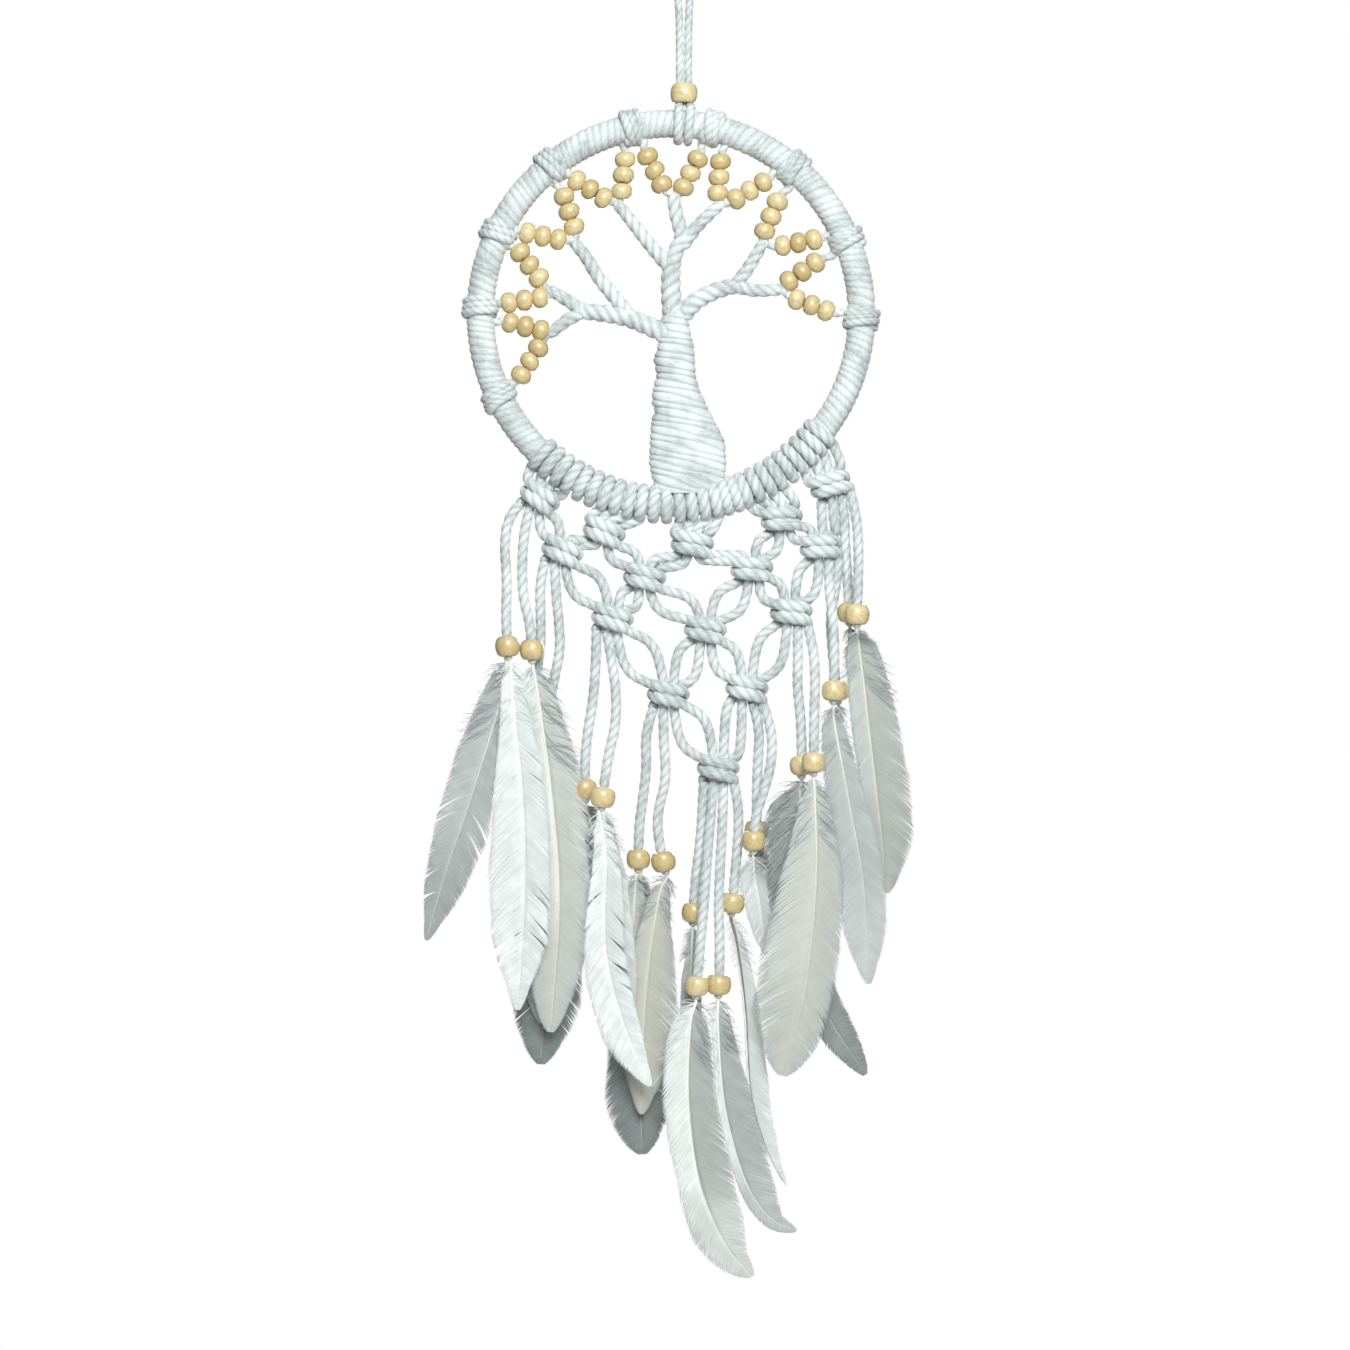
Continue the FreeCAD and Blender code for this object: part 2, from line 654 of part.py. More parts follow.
def make_net():
    """The cords between the knots, in a node for each row that they come down to."""
    diameter = size("cord_diameter")
    knots = {row: nodes[f"net_knots_row_{row}"].Shape for row in KNOT_ROWS}
    hitches, wrap = nodes["net_hitches"].Shape, nodes["hoop_wrap"].Shape
    first_row = []
    for knot, angles in HITCH_ANGLES.items():
        for slot in range(4):
            angle = angles[slot // 2] + HITCH_SPREAD * (slot % 2 - 0.5)
            start = hoop_point(angle, size("hoop_radius") + size("band_diameter") / 2 - 1.5)
            end = knot_point(knot, slot_offset(slot), size("knot_height") / 2 - 1)
            along = end - start
            straight = Part.makeCylinder(diameter / 2, along.Length, start, along)
            first_row.append(cleared(straight, [wrap, hitches, knots[1]] + first_row))
    keep_shape("net_cords_row_1", first_row)
    for row in range(2, 6):
        cords = []
        for (upper, lower), bow in LEAVES.items():
            if lower in KNOT_ROWS[row]:
                for slot in (0, 1):
                    whole = tube(leaf_route(upper, lower, slot, bow), diameter)
                    cords.append(cleared(whole, [knots[row - 1], knots[row]] + cords))
        keep_shape(f"net_cords_row_{row}", cords)


# --- strands and feathers ------------------------------------------------------------------


def strand_route(knot, slot, points):
    under = knot_point(knot, slot_offset(slot), -size("knot_height") / 2 - STRAND_GAP)
    return [under] + [Vector(*point) for point in points]


def make_strands(pattern):
    """The loose cords under each knot, and the drilled bead that each of them ends in."""
    for knot, strands in STRANDS.items():
        cords, beads = [], []
        for number, (slot, points) in enumerate(strands):
            route = strand_route(knot, slot, points)
            cords.append(tube(route, size("cord_diameter"), f"strand {knot} {number}"))
            beads.append(placed(pattern.Shape, route[-1], route[-1] - route[-2]))
        keep_shape(f"strands_{knot}", cords)
        keep_shape(f"beads_{knot}", beads)


def vane_outline(rachis, left, right, widest):
    """A leaf shape about the rachis: full at its widest place, blunt towards both ends."""
    power = math.log(0.5) / math.log(widest)
    sides = []
    for width in (left, -right):
        points = []
        for station in range(1, VANE_STATIONS):
            share = station / VANE_STATIONS
            place = VANE_START + (1 - VANE_START) * share
            at = rachis.value(place)
            along = unit(rachis.tangent(place)[0])
            reach = width * math.sin(math.pi * share**power) ** VANE_BLUNTNESS
            points.append(at + Vector(along.z, 0, -along.x) * reach)
        sides.append(points)
    start = rachis.value(VANE_START)
    tip = rachis.value(1)
    edges = []
    for points in sides:
        edge = Part.BSplineCurve()
        edge.interpolate([start] + points + [tip])
        edges.append(edge.toShape())
    return Part.Wire(edges)


def feather(bead_end, aside, layer, points, left, right, widest):
    """A flat vane on a quill that is glued into its bead's bore, beside any other quill."""
    middle, down = bead_end
    top = middle + down * QUILL_TOP + Vector(aside, 0, 0)
    line = in_plane(points, layer)
    rachis = Part.BSplineCurve()
    rachis.interpolate(line, Parameters=[n / (len(line) - 1) for n in range(len(line))])
    thickness = size("vane_thickness")
    outline = vane_outline(rachis, left, right, widest)
    outline.translate(Vector(0, -thickness / 2, 0))
    vane = Part.Face(outline).extrude(Vector(0, thickness, 0))
    below = top + down * (size("strand_bead_height") / 2 + QUILL_BEND)
    quill = tube([top, below] + line[:2], size("quill_diameter"))
    return quill.fuse(vane).removeSplitter()


def bead_end(knot, strand):
    """The middle of a strand's bead, and the way down its bore."""
    points = STRANDS[knot][strand][1]
    return Vector(*points[-1]), unit(Vector(*points[-1]) - Vector(*points[-2]))


def make_feathers():
    for knot, groups in FEATHERS.items():
        starts = [(row[0], row[2][0][0]) for rows in groups.values() for row in rows]
        for label, feathers in groups.items():
            solids = []
            for strand, layer, points, left, right, widest in feathers:
                sharing = sorted(x for other, x in starts if other == strand)
                place = sharing.index(points[0][0]) - (len(sharing) - 1) / 2
                aside = place * QUILL_PITCH
                end = bead_end(knot, strand)
                solids.append(feather(end, aside, layer, points, left, right, widest))
            keep_shape(label, solids)


# --- hanging loop --------------------------------------------------------------------------


def make_hanging():
    """One cord folded over the nail, both legs down through the top bead to the hoop."""
    radius = size("loop_cord_diameter") / 2
    apart = radius + LOOP_GAP / 2
    wide = LOOP_BEND + radius
    left = [
        Vector(-wide, 0, -LOOP_BEND),
        Vector(-wide, 0, -9),
        Vector(-apart - 0.6, 0, -20),
        Vector(-apart, 0, -33),
        Vector(-apart, 0.1, -51),
        Vector(-apart, 0, LOOP_FOOT),
    ]
    right = [Vector(-point.x, point.y, point.z) for point in left]
    bend = Part.Arc(left[0], Vector(0, 0, left[0].z + wide), right[0]).toShape()
    runs = [rounded_path(side)[0] for side in (left, right)]
    path = Part.Wire(Part.__sortEdges__(runs[0].Edges + [bend] + runs[1].Edges))
    section = Part.Wire(Part.makeCircle(radius, left[-1], Vector(0, 0, 1)))
    loop = path.makePipeShell([section], True, True)
    print(f"hanging loop: {path.Length:.1f} mm long")
    keep_shape("hanging_loop", [loop])
    top_bead = bead("top_bead", "top_bead_diameter", "top_bead_height", "[top_bore_diameter]")
    top_bead.Placement.Base = Vector(0, 0, TOP_BEAD_Z)
    keep(top_bead, "top_bead")
    doc.recompute()


def check():
    failed = [thing.Name for thing in doc.Objects if {"Invalid", "Error"} & set(thing.State)]
    broken = [
        label for label, thing in nodes.items()
        if thing.Shape.isNull() or not thing.Shape.isValid() or not thing.Shape.Solids
    ]
    if failed or broken:
        raise RuntimeError(f"failed: {failed}; no valid shape: {broken}")


def export():
    os.makedirs("parts", exist_ok=True)
    for label, thing in nodes.items():
        thing.Shape.exportStep(f"parts/{label}.step")
        print(f"{label}: {len(thing.Shape.Solids)} solids, {thing.Shape.Volume:.0f} mm3")


sizes = make_sheet()
make_hoop()
make_trunk()
make_branches()
make_tree_beads()
make_knots()
make_net()
make_strands(
    bead("strand_bead", "strand_bead_diameter", "strand_bead_height",
         "[cord_diameter] + [bore_clearance]")
)
make_feathers()
make_hanging()
doc.recompute()
check()
export()
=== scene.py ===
"""The looks of a macrame dream catcher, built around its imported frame.

Sizes and places are in millimetres until a mesh or a declared cord is made of them. The camera,
the lights and the floor are placed in metres. X is to the right, Y away from the viewer, Z up,
and the nail is at the origin.
"""

import math
from typing import NamedTuple

import bpy
import numpy as np
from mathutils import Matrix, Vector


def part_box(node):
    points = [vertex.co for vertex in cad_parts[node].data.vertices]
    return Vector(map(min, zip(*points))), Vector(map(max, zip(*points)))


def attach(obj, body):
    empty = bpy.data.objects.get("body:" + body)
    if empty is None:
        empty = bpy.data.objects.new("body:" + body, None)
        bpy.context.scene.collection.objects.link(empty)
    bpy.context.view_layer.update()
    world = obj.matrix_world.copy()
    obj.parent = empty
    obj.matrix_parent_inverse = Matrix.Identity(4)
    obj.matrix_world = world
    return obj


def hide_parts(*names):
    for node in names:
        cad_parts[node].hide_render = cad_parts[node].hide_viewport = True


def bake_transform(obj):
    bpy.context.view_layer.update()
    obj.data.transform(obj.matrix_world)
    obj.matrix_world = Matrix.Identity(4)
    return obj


MM = 0.001
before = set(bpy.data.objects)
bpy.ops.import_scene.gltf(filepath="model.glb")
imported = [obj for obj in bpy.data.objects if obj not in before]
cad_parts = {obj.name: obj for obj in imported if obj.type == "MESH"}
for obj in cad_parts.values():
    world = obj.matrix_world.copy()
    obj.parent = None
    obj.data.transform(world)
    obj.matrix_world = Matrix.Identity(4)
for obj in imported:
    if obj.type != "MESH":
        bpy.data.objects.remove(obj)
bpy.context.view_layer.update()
draws = np.random.default_rng(7)

FRONT = (0, -1, 0)
CORD = 4.4  # diameter of the knotted cord
LOOP_CORD = 3.4
HANGER_CORD = 4.0
STRING = 1.6
HOOP_TIE = 3.6  # the tied string at the hoop
TIP_TIE = 3.0  # and at the branches' tips
TIE_PLIES = dict(plies=2, lay=7, sides=14)
PLY_DEPTH = 0.14  # how deep the grooves between a cord's plies are, as a share of its radius
LAY = 13.0  # length in which the plies of a cord go once round
LOOP_LAY = 11
FIBRE_STRETCH = 7  # how much longer than wide the marks of the fibres are
STEP = 0.7  # between two rings of points along a cord
SPAN_POINTS = 24  # from one given point of a route to the next

HOOP = "hoop_and_net"


def hoop_sizes():
    """The middle of the hoop, the radius of its line and the radius of its wrap."""
    low, high = (np.array(corner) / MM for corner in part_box("hoop_rod"))
    rod = (high[1] - low[1]) / 2
    return (low + high) / 2, (high[0] - low[0]) / 2 - rod, 2 * rod


HOOP_CENTRE, HOOP_RADIUS, WRAP_RADIUS = hoop_sizes()

# The net's square knots: centre x and z, and tilt in degrees.
KNOTS = {
    "k11": (-60.5, -230, -24), "k12": (-33.5, -244.5, -10), "k13": (3.5, -249.5, 2),
    "k14": (41, -239, 14), "k15": (61.5, -224.5, 28),
    "k21": (-51, -252.5, -12), "k22": (-16.5, -263.5, -2), "k23": (28.5, -260, 8),
    "k24": (57.5, -250.5, 14),
    "k31": (-30, -280.5, -5), "k32": (9, -285.5, 0), "k33": (45, -278, 6),
    "k41": (-6.5, -312.5, 0), "k42": (26.5, -310, 0),
    "k51": (14.5, -343.5, 0),
}
SLOT_PITCH = 4.15  # between the four cords below a knot
KNOT_FOOT = -5.75  # where the strands start, below the middle of a knot
# The angles on the hoop, in degrees from its right side upwards: of the four cords that come
# down to each knot of the first row, and of the turns between them.
LEG_ANGLES = {
    "k11": (227.6, 231.3, 235.1, 238.8),
    "k12": (250.0, 253.7, 257.5, 261.2),
    "k13": (272.6, 276.2, 279.8, 283.4),
    "k14": (292.5, 296.1, 299.7, 303.3),
    "k15": (310.5, 314.1, 317.7, 321.3),
}
SPARE_TURNS = (242.5, 246.3, 264.9, 268.7, 286.4, 289.5, 306.9)

# The strands below the net: the slot under the knot, the length, and the route down to the
# bead's middle.
STRANDS = {
    "k11": [
        (0, 62, [(-73.5, -0.5, -237), (-75.5, -2, -250), (-74, -4, -264), (-74.6, -6, -280),
                 (-73.8, -6, -292.5)]),
        (1, 60, [(-67, -0.5, -243), (-68, -1.5, -257), (-67.6, -2, -272), (-64.4, -2, -283),
                 (-63.8, -2, -294)]),
    ],
    "k21": [
        (0, 67, [(-60.6, 1, -264), (-60.4, 3.8, -279), (-60.4, 5.8, -295), (-64, 5.8, -311),
                 (-65.8, 5.8, -323)]),
        (1, 75, [(-54, 0.6, -269), (-52.6, 2, -282), (-52, 3.5, -294), (-55, 5.5, -307),
                 (-57, 6, -320), (-56.4, 6, -332)]),
    ],
    "k31": [
        (0, 67, [(-37, 0.6, -298), (-38, 1.5, -314), (-40.8, 2.4, -330), (-41.8, 2.4, -342),
                 (-41.6, 2.4, -352.5)]),
        (1, 71, [(-30.5, -1, -297), (-28.4, -3, -311), (-28.4, -4.6, -325), (-32.4, -5.2, -341),
                 (-34, -5.2, -355.5)]),
    ],
    "k41": [
        (0, 65, [(-16.4, 1, -328), (-15.6, 2.4, -343), (-17.4, 3.6, -357), (-19.2, 4, -370),
                 (-19.2, 4, -382)]),
        (1, 66, [(-8.8, 1, -331), (-7.2, 2.4, -348), (-11.2, 3.6, -362), (-11, 4, -373),
                 (-8.7, 4, -383)]),
    ],
    "k51": [
        (0, 56, [(7.8, 1.4, -361), (6.8, 3.4, -376), (4.6, 4.6, -391), (4, 4.6, -404.5)]),
        (1, 86, [(11.2, -1.4, -364), (9.6, -3, -382), (8.4, -4, -400), (6.6, -4.6, -418),
                 (5.4, -4.6, -434.5)]),
        (2, 85, [(16.2, 0.4, -365), (15.2, 0.6, -384), (14.4, 0.8, -402), (15.2, 0.8, -419),
                 (14.6, 0.8, -434.5)]),
        (3, 52, [(22.8, 1.6, -357), (23, 4.4, -371), (21.8, 5, -386), (20.4, 5, -400.5)]),
    ],
    "k42": [
        (2, 56, [(32, 3.4, -326), (31.2, 5, -340), (30.6, 7.8, -355), (30.8, 8.4, -370)]),
        (3, 60, [(36.6, 0.4, -325), (37.2, 0, -340), (33.4, -1, -354), (29.6, -1.6, -364),
                 (29.2, -1.6, -374)]),
    ],
    "k33": [
        (2, 59, [(48, 1.4, -295), (47.6, 3, -310), (49.6, 5, -325), (49.6, 5, -342.5)]),
        (3, 59, [(54.4, -1.4, -293), (55, -4, -307), (54.4, -5.2, -323), (54.2, -5.4, -341)]),
    ],
    "k24": [
        (2, 56, [(60.6, -2.4, -267), (62.4, -4.6, -281), (63, -6, -296), (62.6, -6, -311)]),
        (3, 57, [(64.4, 3.2, -266), (61.6, 4.6, -279), (62.4, 4.8, -294), (64.4, 4.2, -311)]),
    ],
    "k15": [
        (2, 50, [(67.6, 2.6, -238), (67.8, 5, -249), (69, 7.4, -262), (69.8, 8, -278)]),
        (3, 53, [(72.4, -1.6, -238), (73.2, -2.2, -251), (73, -2, -265), (72.6, -2, -279)]),
    ],
}
BODIES = {knot: f"strands_{knot}_swinging" for knot in STRANDS}

# The doubled hanging cord, from its left foot in the hoop up to the nail; the right half
# mirrors it.
LEG_ASIDE = 1.78  # from the middle to either leg
LOOP_HALF = [
    (-LEG_ASIDE, 0, -64.8), (-LEG_ASIDE, 0.1, -51), (-LEG_ASIDE, 0, -33), (-2.38, 0, -20),
    (-3.9, 0, -9), (-4.1, 0, -2), (-2.6, 0, 1.7),
]

# The trunk's sections: z, left and right edge.
TRUNK = [
    (-146, -8.2, -1.6), (-151, -8.8, 0.2), (-156, -10, 2), (-162, -10.6, 3.2),
    (-166.5, -11.2, 4.4), (-172, -13, 4.7), (-178.5, -11.7, 5), (-185, -13.4, 6.8),
    (-190, -13.8, 9.2), (-193.4, -12.4, 10.6), (-197, -13.8, 12.6), (-206, -14.5, 17.2),
    (-216, -14.8, 18), (-223, -13.4, 17), (-228.5, -11.4, 13.6),
]

# Where the branches end, x and z, each between the beads of two legs of the zigzag.
TIPS = {
    "left": [(-57.6, -162.2), (-57.4, -142.2), (-47.2, -121.8)],
    "top": [(-29.4, -104.8), (-4.8, -102.2), (16, -106.2)],
    "right": [(33.8, -122), (42, -142.6)],
}
# Branches: diameters at both ends and route of each length of wrapped cord, x and z.
BRANCHES = {
    "left": [
        (9.2, 7, [(-3.5, -163), (-14.5, -158), (-24, -154.4), (-35.5, -152.4), (-45, -151.6)]),
        (6.2, 5, [(-42, -151.8), (-49, -155.4), TIPS["left"][0]]),
        (6.2, 5, [(-42, -152.2), (-48, -147.8), TIPS["left"][1]]),
        (6.8, 5.2, [(-21, -156.5), (-26.5, -149), (-35.5, -138), (-41.5, -128.5),
                    TIPS["left"][2]]),
    ],
    "top": [
        (9.6, 8.2, [(-3.6, -162), (-5.4, -145), (-5.4, -131.5)]),
        (7.4, 5.6, [(-5.4, -135), (-3.6, -127), (-1, -120.5), (-3, -112), TIPS["top"][1]]),
        (6.6, 5, [(-5.4, -134), (-14.5, -123.5), (-22, -114), TIPS["top"][0]]),
        (6.2, 5, [(-1.6, -125.5), (6, -115.5), TIPS["top"][2]]),
    ],
    "right": [
        (8.6, 6.6, [(-2, -155), (5, -147.5), (14, -143), (24, -140.5)]),
        (6, 5, [(21, -141.3), (27, -133.5), TIPS["right"][0]]),
        (6, 5, [(21, -141), (30, -143), TIPS["right"][1]]),
    ],
}

# Where the zigzag is tied to the hoop, and where the hanging cord is.
LASHING_ANGLES = [206, 178, 155, 129, 102, 77.5, 50, 22.7, -1.5]
HANGER_ANGLE = 86.1
# The first and the last bead of each leg of the zigzag, x and z from the hoop's middle.
BEAD_LEGS = {
    "left": [
        ((-55.6, -14.2), (-62.8, -25.5)), ((-67.4, -3.6), (-54.6, -6.8)),
        ((-68, 4.8), (-55, 6.9)), ((-63.2, 25.9), (-55.4, 15.2)),
        ((-60.2, 34), (-47.2, 31.4)), ((-44.8, 49.4), (-40.6, 36.6)),
    ],
    "top": [
        ((-39.5, 56), (-28.3, 48.8)), ((-20.6, 51.6), (-19.2, 64.9)),
        ((-9.8, 66.2), (-3.8, 54.4)), ((5.2, 53.2), (11.2, 65)),
        ((20.8, 64), (19.6, 50.8)), ((27.4, 48.3), (38.8, 55.3)),
    ],
    "right": [
        ((44.7, 47.1), (39.4, 34.8)), ((46.9, 28.7), (60, 31.2)),
        ((60.6, 21.6), (49.6, 14)), ((52.8, 6.1), (65.2, 1.4)),
    ],
}
TREE_BEAD = (9.0, 6.8, 1.9)  # diameter, height and bore
STRAND_BEAD = (10.3, 8.5, 4.3)
TOP_BEAD = (11.2, 8.0, 7.1)
TOP_BEAD_Z = -60.4

WIDTH_STATIONS = (0.15, 0.35, 0.6, 0.8, 0.93)  # shares of a vane's length


class Feather(NamedTuple):
    """A feather, whose quill is glued into the bead of a strand."""

    strand: int  # of its knot
    aside: float  # how far its quill stands aside in the bead's bore
    depth: float
    route: list  # of its middle line, x and z, from where the vane starts to the tip
    left: tuple  # the vane's width at WIDTH_STATIONS
    right: tuple
    dark: tuple  # how grey its left half, right half and tip are
    cream: float = 0.05
    brown: float = 0
    splits: int = 0  # wide gaps on each side
    tuft: int = 0  # -1 or 1 for the side with a thick grey tuft at its foot


# The feathers of each node, below one knot.
FEATHERS = {
    "feather_front_left": ("k11", [
        Feather(0, 0.95, -8.4, [(-72, -312), (-67.4, -357), (-66.6, -399), (-69.5, -445)],
                (6, 12, 15.5, 13, 6.5), (7, 10, 11, 10.5, 5.5), (0.03, 0.06, 0.03), splits=3),
    ]),
    "feather_far_left": ("k11", [
        Feather(0, -0.95, -5.2, [(-76, -312), (-88, -352), (-100, -388), (-108, -416)],
                (9, 12, 11, 7.5, 4), (3, 6, 12.5, 9.5, 5), (0.38, 0.46, 0.56), splits=2, tuft=-1),
    ]),
    "feather_left_inner": ("k11", [
        Feather(1, 0, -2, [(-61, -315), (-55.4, -357), (-52.4, -399), (-56, -455)],
                (7, 10, 11, 12.5, 9), (9.5, 15, 14.5, 12, 8), (0.1, 0.3, 0.38),
                cream=0.25, tuft=1),
    ]),
    "feathers_left_rear": ("k21", [
        Feather(0, 0, 4.4, [(-66, -345), (-63, -395), (-60, -452)],
                (5, 9, 10, 9, 6), (5, 9, 10, 9, 6), (0.45, 0.5, 0.6)),
        Feather(1, 0, 7.6, [(-57, -352), (-57, -405), (-60.5, -469.5)],
                (6, 11, 13.5, 14, 10), (6, 12, 15, 15.5, 10), (0.6, 0.6, 0.88)),
    ]),
    "feathers_centre_left": ("k31", [
        Feather(0, 0, 1.6, [(-38.6, -370), (-36.6, -384), (-36, -402)],
                (2, 4, 4, 3, 2), (3, 5, 5, 4, 2), (0.7, 0.7, 0.6)),
        Feather(1, -0.95, -8, [(-33, -380), (-32.6, -420), (-25, -450), (-13.5, -476.5)],
                (5, 8, 10.5, 11, 7), (6, 8.5, 8, 6, 3), (0.02, 0.08, 0.02), splits=3),
        Feather(1, 0.95, -4.8, [(-31.6, -378), (-27.6, -410), (-21.5, -444)],
                (2, 4, 5, 4, 2), (4, 6.5, 6.5, 5, 3), (0.12, 0.16, 0.2), cream=0.15),
    ]),
    "feathers_centre_rear": ("k41", [
        Feather(0, -0.95, 7.6, [(-21, -400), (-22.5, -432), (-20.5, -474)],
                (5, 8, 9, 8, 5), (5, 8, 8, 7, 4), (0.32, 0.32, 0.4), cream=0.3),
        Feather(0, 0.95, 11, [(-18, -400), (-20, -450), (-17.5, -508)],
                (5, 9, 12, 15, 12), (5, 9, 11, 13, 10), (0.6, 0.6, 0.88)),
        Feather(1, 0, 4.6, [(-10.6, -398), (-14.6, -424), (-17, -455), (-18, -490)],
                (5, 8, 9, 8, 5), (6, 11, 14.5, 12, 6), (0.44, 0.56, 0.6), cream=0.45),
    ]),
    "feather_lowest": ("k51", [
        Feather(1, 0, -5, [(2.4, -452), (1.8, -483), (6.5, -517), (17, -542), (29, -556.5)],
                (10, 11, 9, 11.5, 8.5), (9.5, 12, 15, 12, 6), (0.04, 0.54, 0.22), cream=0.15),
    ]),
    "feather_lowest_right": ("k51", [
        Feather(2, 0, -0.8, [(14.2, -452), (17, -485), (25.5, -516), (36, -532), (47.5, -538)],
                (2.5, 3, 3, 4.5, 4.5), (7, 11.5, 13, 10, 4), (0.08, 0.5, 0.4)),
    ]),
    "feather_narrow_left": ("k51", [
        Feather(0, 0, 2.6, [(3.2, -420), (2.4, -445), (2.6, -476)],
                (2, 4, 4, 3.5, 2), (3, 5, 5, 4, 2), (0.55, 0.55, 0.5), cream=0.2),
    ]),
    "feather_narrow_right": ("k51", [
        Feather(3, 0, 3.2, [(22.4, -418), (26, -445), (28.2, -480), (34, -502), (43, -520)],
                (1, 1, 1, 0.8, 0.5), (4, 6, 8, 6, 3), (0.1, 0.15, 0.08), brown=0.85),
    ]),
    "feathers_short_right": ("k42", [
        Feather(1, 0, 1.6, [(29.6, -388), (32, -402), (34, -422)],
                (6, 7, 6, 4, 2), (6, 7, 7, 5, 3), (0.12, 0.25, 0.2)),
        Feather(0, 0, 8, [(32, -384), (35.6, -400), (38.6, -418)],
                (3, 4, 4, 4, 2), (4, 5, 5, 4, 3), (0.5, 0.5, 0.5)),
    ]),
    "feathers_broad_right": ("k33", [
        Feather(1, 0, -6.6, [(54.6, -356), (55, -391), (50.4, -436), (41, -472.5)],
                (9, 16, 20.5, 20, 13), (8, 12, 12.5, 12, 10), (0.3, 0.42, 0.42), cream=0.3),
        Feather(0, 0, 0.6, [(48.6, -356), (49, -400), (57, -440), (76.5, -473)],
                (15, 14, 9, 8, 6), (6, 8, 8, 8, 6), (0.72, 0.72, 0.8), tuft=-1),
    ]),
    "feathers_inner_right": ("k24", [
        Feather(0, 0, -2.4, [(63.2, -326), (69, -357), (75, -391), (77.5, -434.5)],
                (7, 10, 11, 10, 6), (5, 7.5, 9.8, 8.5, 5), (0.4, 0.4, 0.3)),
        Feather(1, 0, 1.6, [(64.8, -330), (68, -360), (71, -395), (74.5, -425)],
                (2, 3, 3, 3, 2), (3, 5, 5, 4, 2), (0.5, 0.5, 0.5)),
    ]),
    "feathers_far_right": ("k15", [
        Feather(1, 0, 5.2, [(74, -294), (78.4, -330), (82.6, -366), (85.4, -397)],
                (6.5, 7.5, 7, 6, 4), (9.5, 12.5, 14.5, 13.5, 8), (0.34, 0.5, 0.54),
                cream=0.2, tuft=1),
        Feather(0, 0, 8.8, [(71.6, -296), (75.4, -330), (79.4, -368)],
                (2, 3.4, 3.4, 3, 2), (4, 7, 7, 5, 3), (0.5, 0.5, 0.5)),
    ]),
}
GREY_FEATHERS = ("feather_far_left", "feathers_left_rear", "feathers_centre_rear",
                 "feathers_far_right")


# --- lines ---


def sampled(places, known, rows):
    """The rows at the places, from those at the known places."""
    return np.stack([np.interp(places, known, column) for column in rows.T], axis=-1)


def spans(line):
    """The distance from each point of a line to the next."""
    return np.linalg.norm(np.diff(line, axis=0), axis=1)


def evenly(line, step):
    """The same line as points a step apart."""
    travelled = np.concatenate([[0], np.cumsum(spans(line))])
    count = max(4, round(travelled[-1] / step)) + 1
    return sampled(np.linspace(0, travelled[-1], count), travelled, line)


def drawn(points, step=STEP):
    """The smooth curve whose control points these are."""
    curve = bpy.data.curves.new("route", "CURVE")
    curve.dimensions = "3D"
    curve.resolution_u = SPAN_POINTS
    spline = curve.splines.new("NURBS")
    spline.points.add(len(points) - 1)
    for knot, point in zip(spline.points, points):
        knot.co = (*point, 1)
    spline.order_u = 3
    spline.use_endpoint_u = True
    holder = bpy.data.objects.new("route", curve)
    mesh = bpy.data.meshes.new_from_object(holder)
    line = np.array([vertex.co for vertex in mesh.vertices])
    bpy.data.objects.remove(holder)
    bpy.data.meshes.remove(mesh)
    bpy.data.curves.remove(curve)
    return evenly(line, step)


def through(points, step=STEP):
    """A smooth curve through all the points."""
    points = np.array(points, float)
    before, after = 2 * points[:1] - points[1:2], 2 * points[-1:] - points[-2:-1]
    row = np.concatenate([before, points, after])
    share = np.linspace(0, 1, SPAN_POINTS, endpoint=False)[:, None]
    parts = []
    for a, b, c, d in zip(row, row[1:], row[2:], row[3:]):
        bend = (2 * a - 5 * b + 4 * c - d) * share**2 + (3 * b - a - 3 * c + d) * share**3
        parts.append(b + 0.5 * ((c - a) * share + bend))
    return evenly(np.concatenate(parts + [points[-1:]]), step)


def in_plane(points, y=0.0):
    return [(x, y, z) for x, z in points]


def unit(vectors):
    return vectors / np.linalg.norm(vectors, axis=-1, keepdims=True)


def carried(line):
    """Normal and side at each point of a line, with no twist between points."""
    tangents = unit(np.gradient(line, axis=0))
    normal = FRONT
    normals = []
    for tangent in tangents:
        normal = unit(np.array(normal, float) - tangent * np.dot(normal, tangent))
        normals.append(normal)
    normals = np.array(normals)
    return normals, np.cross(tangents, normals)


def hoop_degrees(length):
    """The angle that a length along the hoop takes up."""
    return math.degrees(length / HOOP_RADIUS)


def hoop_place(angle, around, radius):
    """A point near the hoop: degrees on the hoop and round its tube, from the outside over
    the back, and the distance from the tube's line."""
    turn, roll = np.radians(angle), np.radians(around)
    reach = HOOP_RADIUS + radius * np.cos(roll)
    offset = np.stack([reach * np.cos(turn), radius * np.sin(roll), reach * np.sin(turn)], -1)
    return HOOP_CENTRE + offset


def knot_place(knot, across, up, depth=0.0):
    """A point near a knot, given along and across its tilt."""
    x, z, tilt = KNOTS[knot]
    turn = math.radians(tilt)
    return (x + across * math.cos(turn) - up * math.sin(turn), depth,
            z + across * math.sin(turn) + up * math.cos(turn))


def foot_place(knot, slot):
    """Where the cord in a slot, 0 on the left to 3 on the right, comes out below a knot."""
    return knot_place(knot, (slot - 1.5) * SLOT_PITCH, KNOT_FOOT)


# --- meshes ---


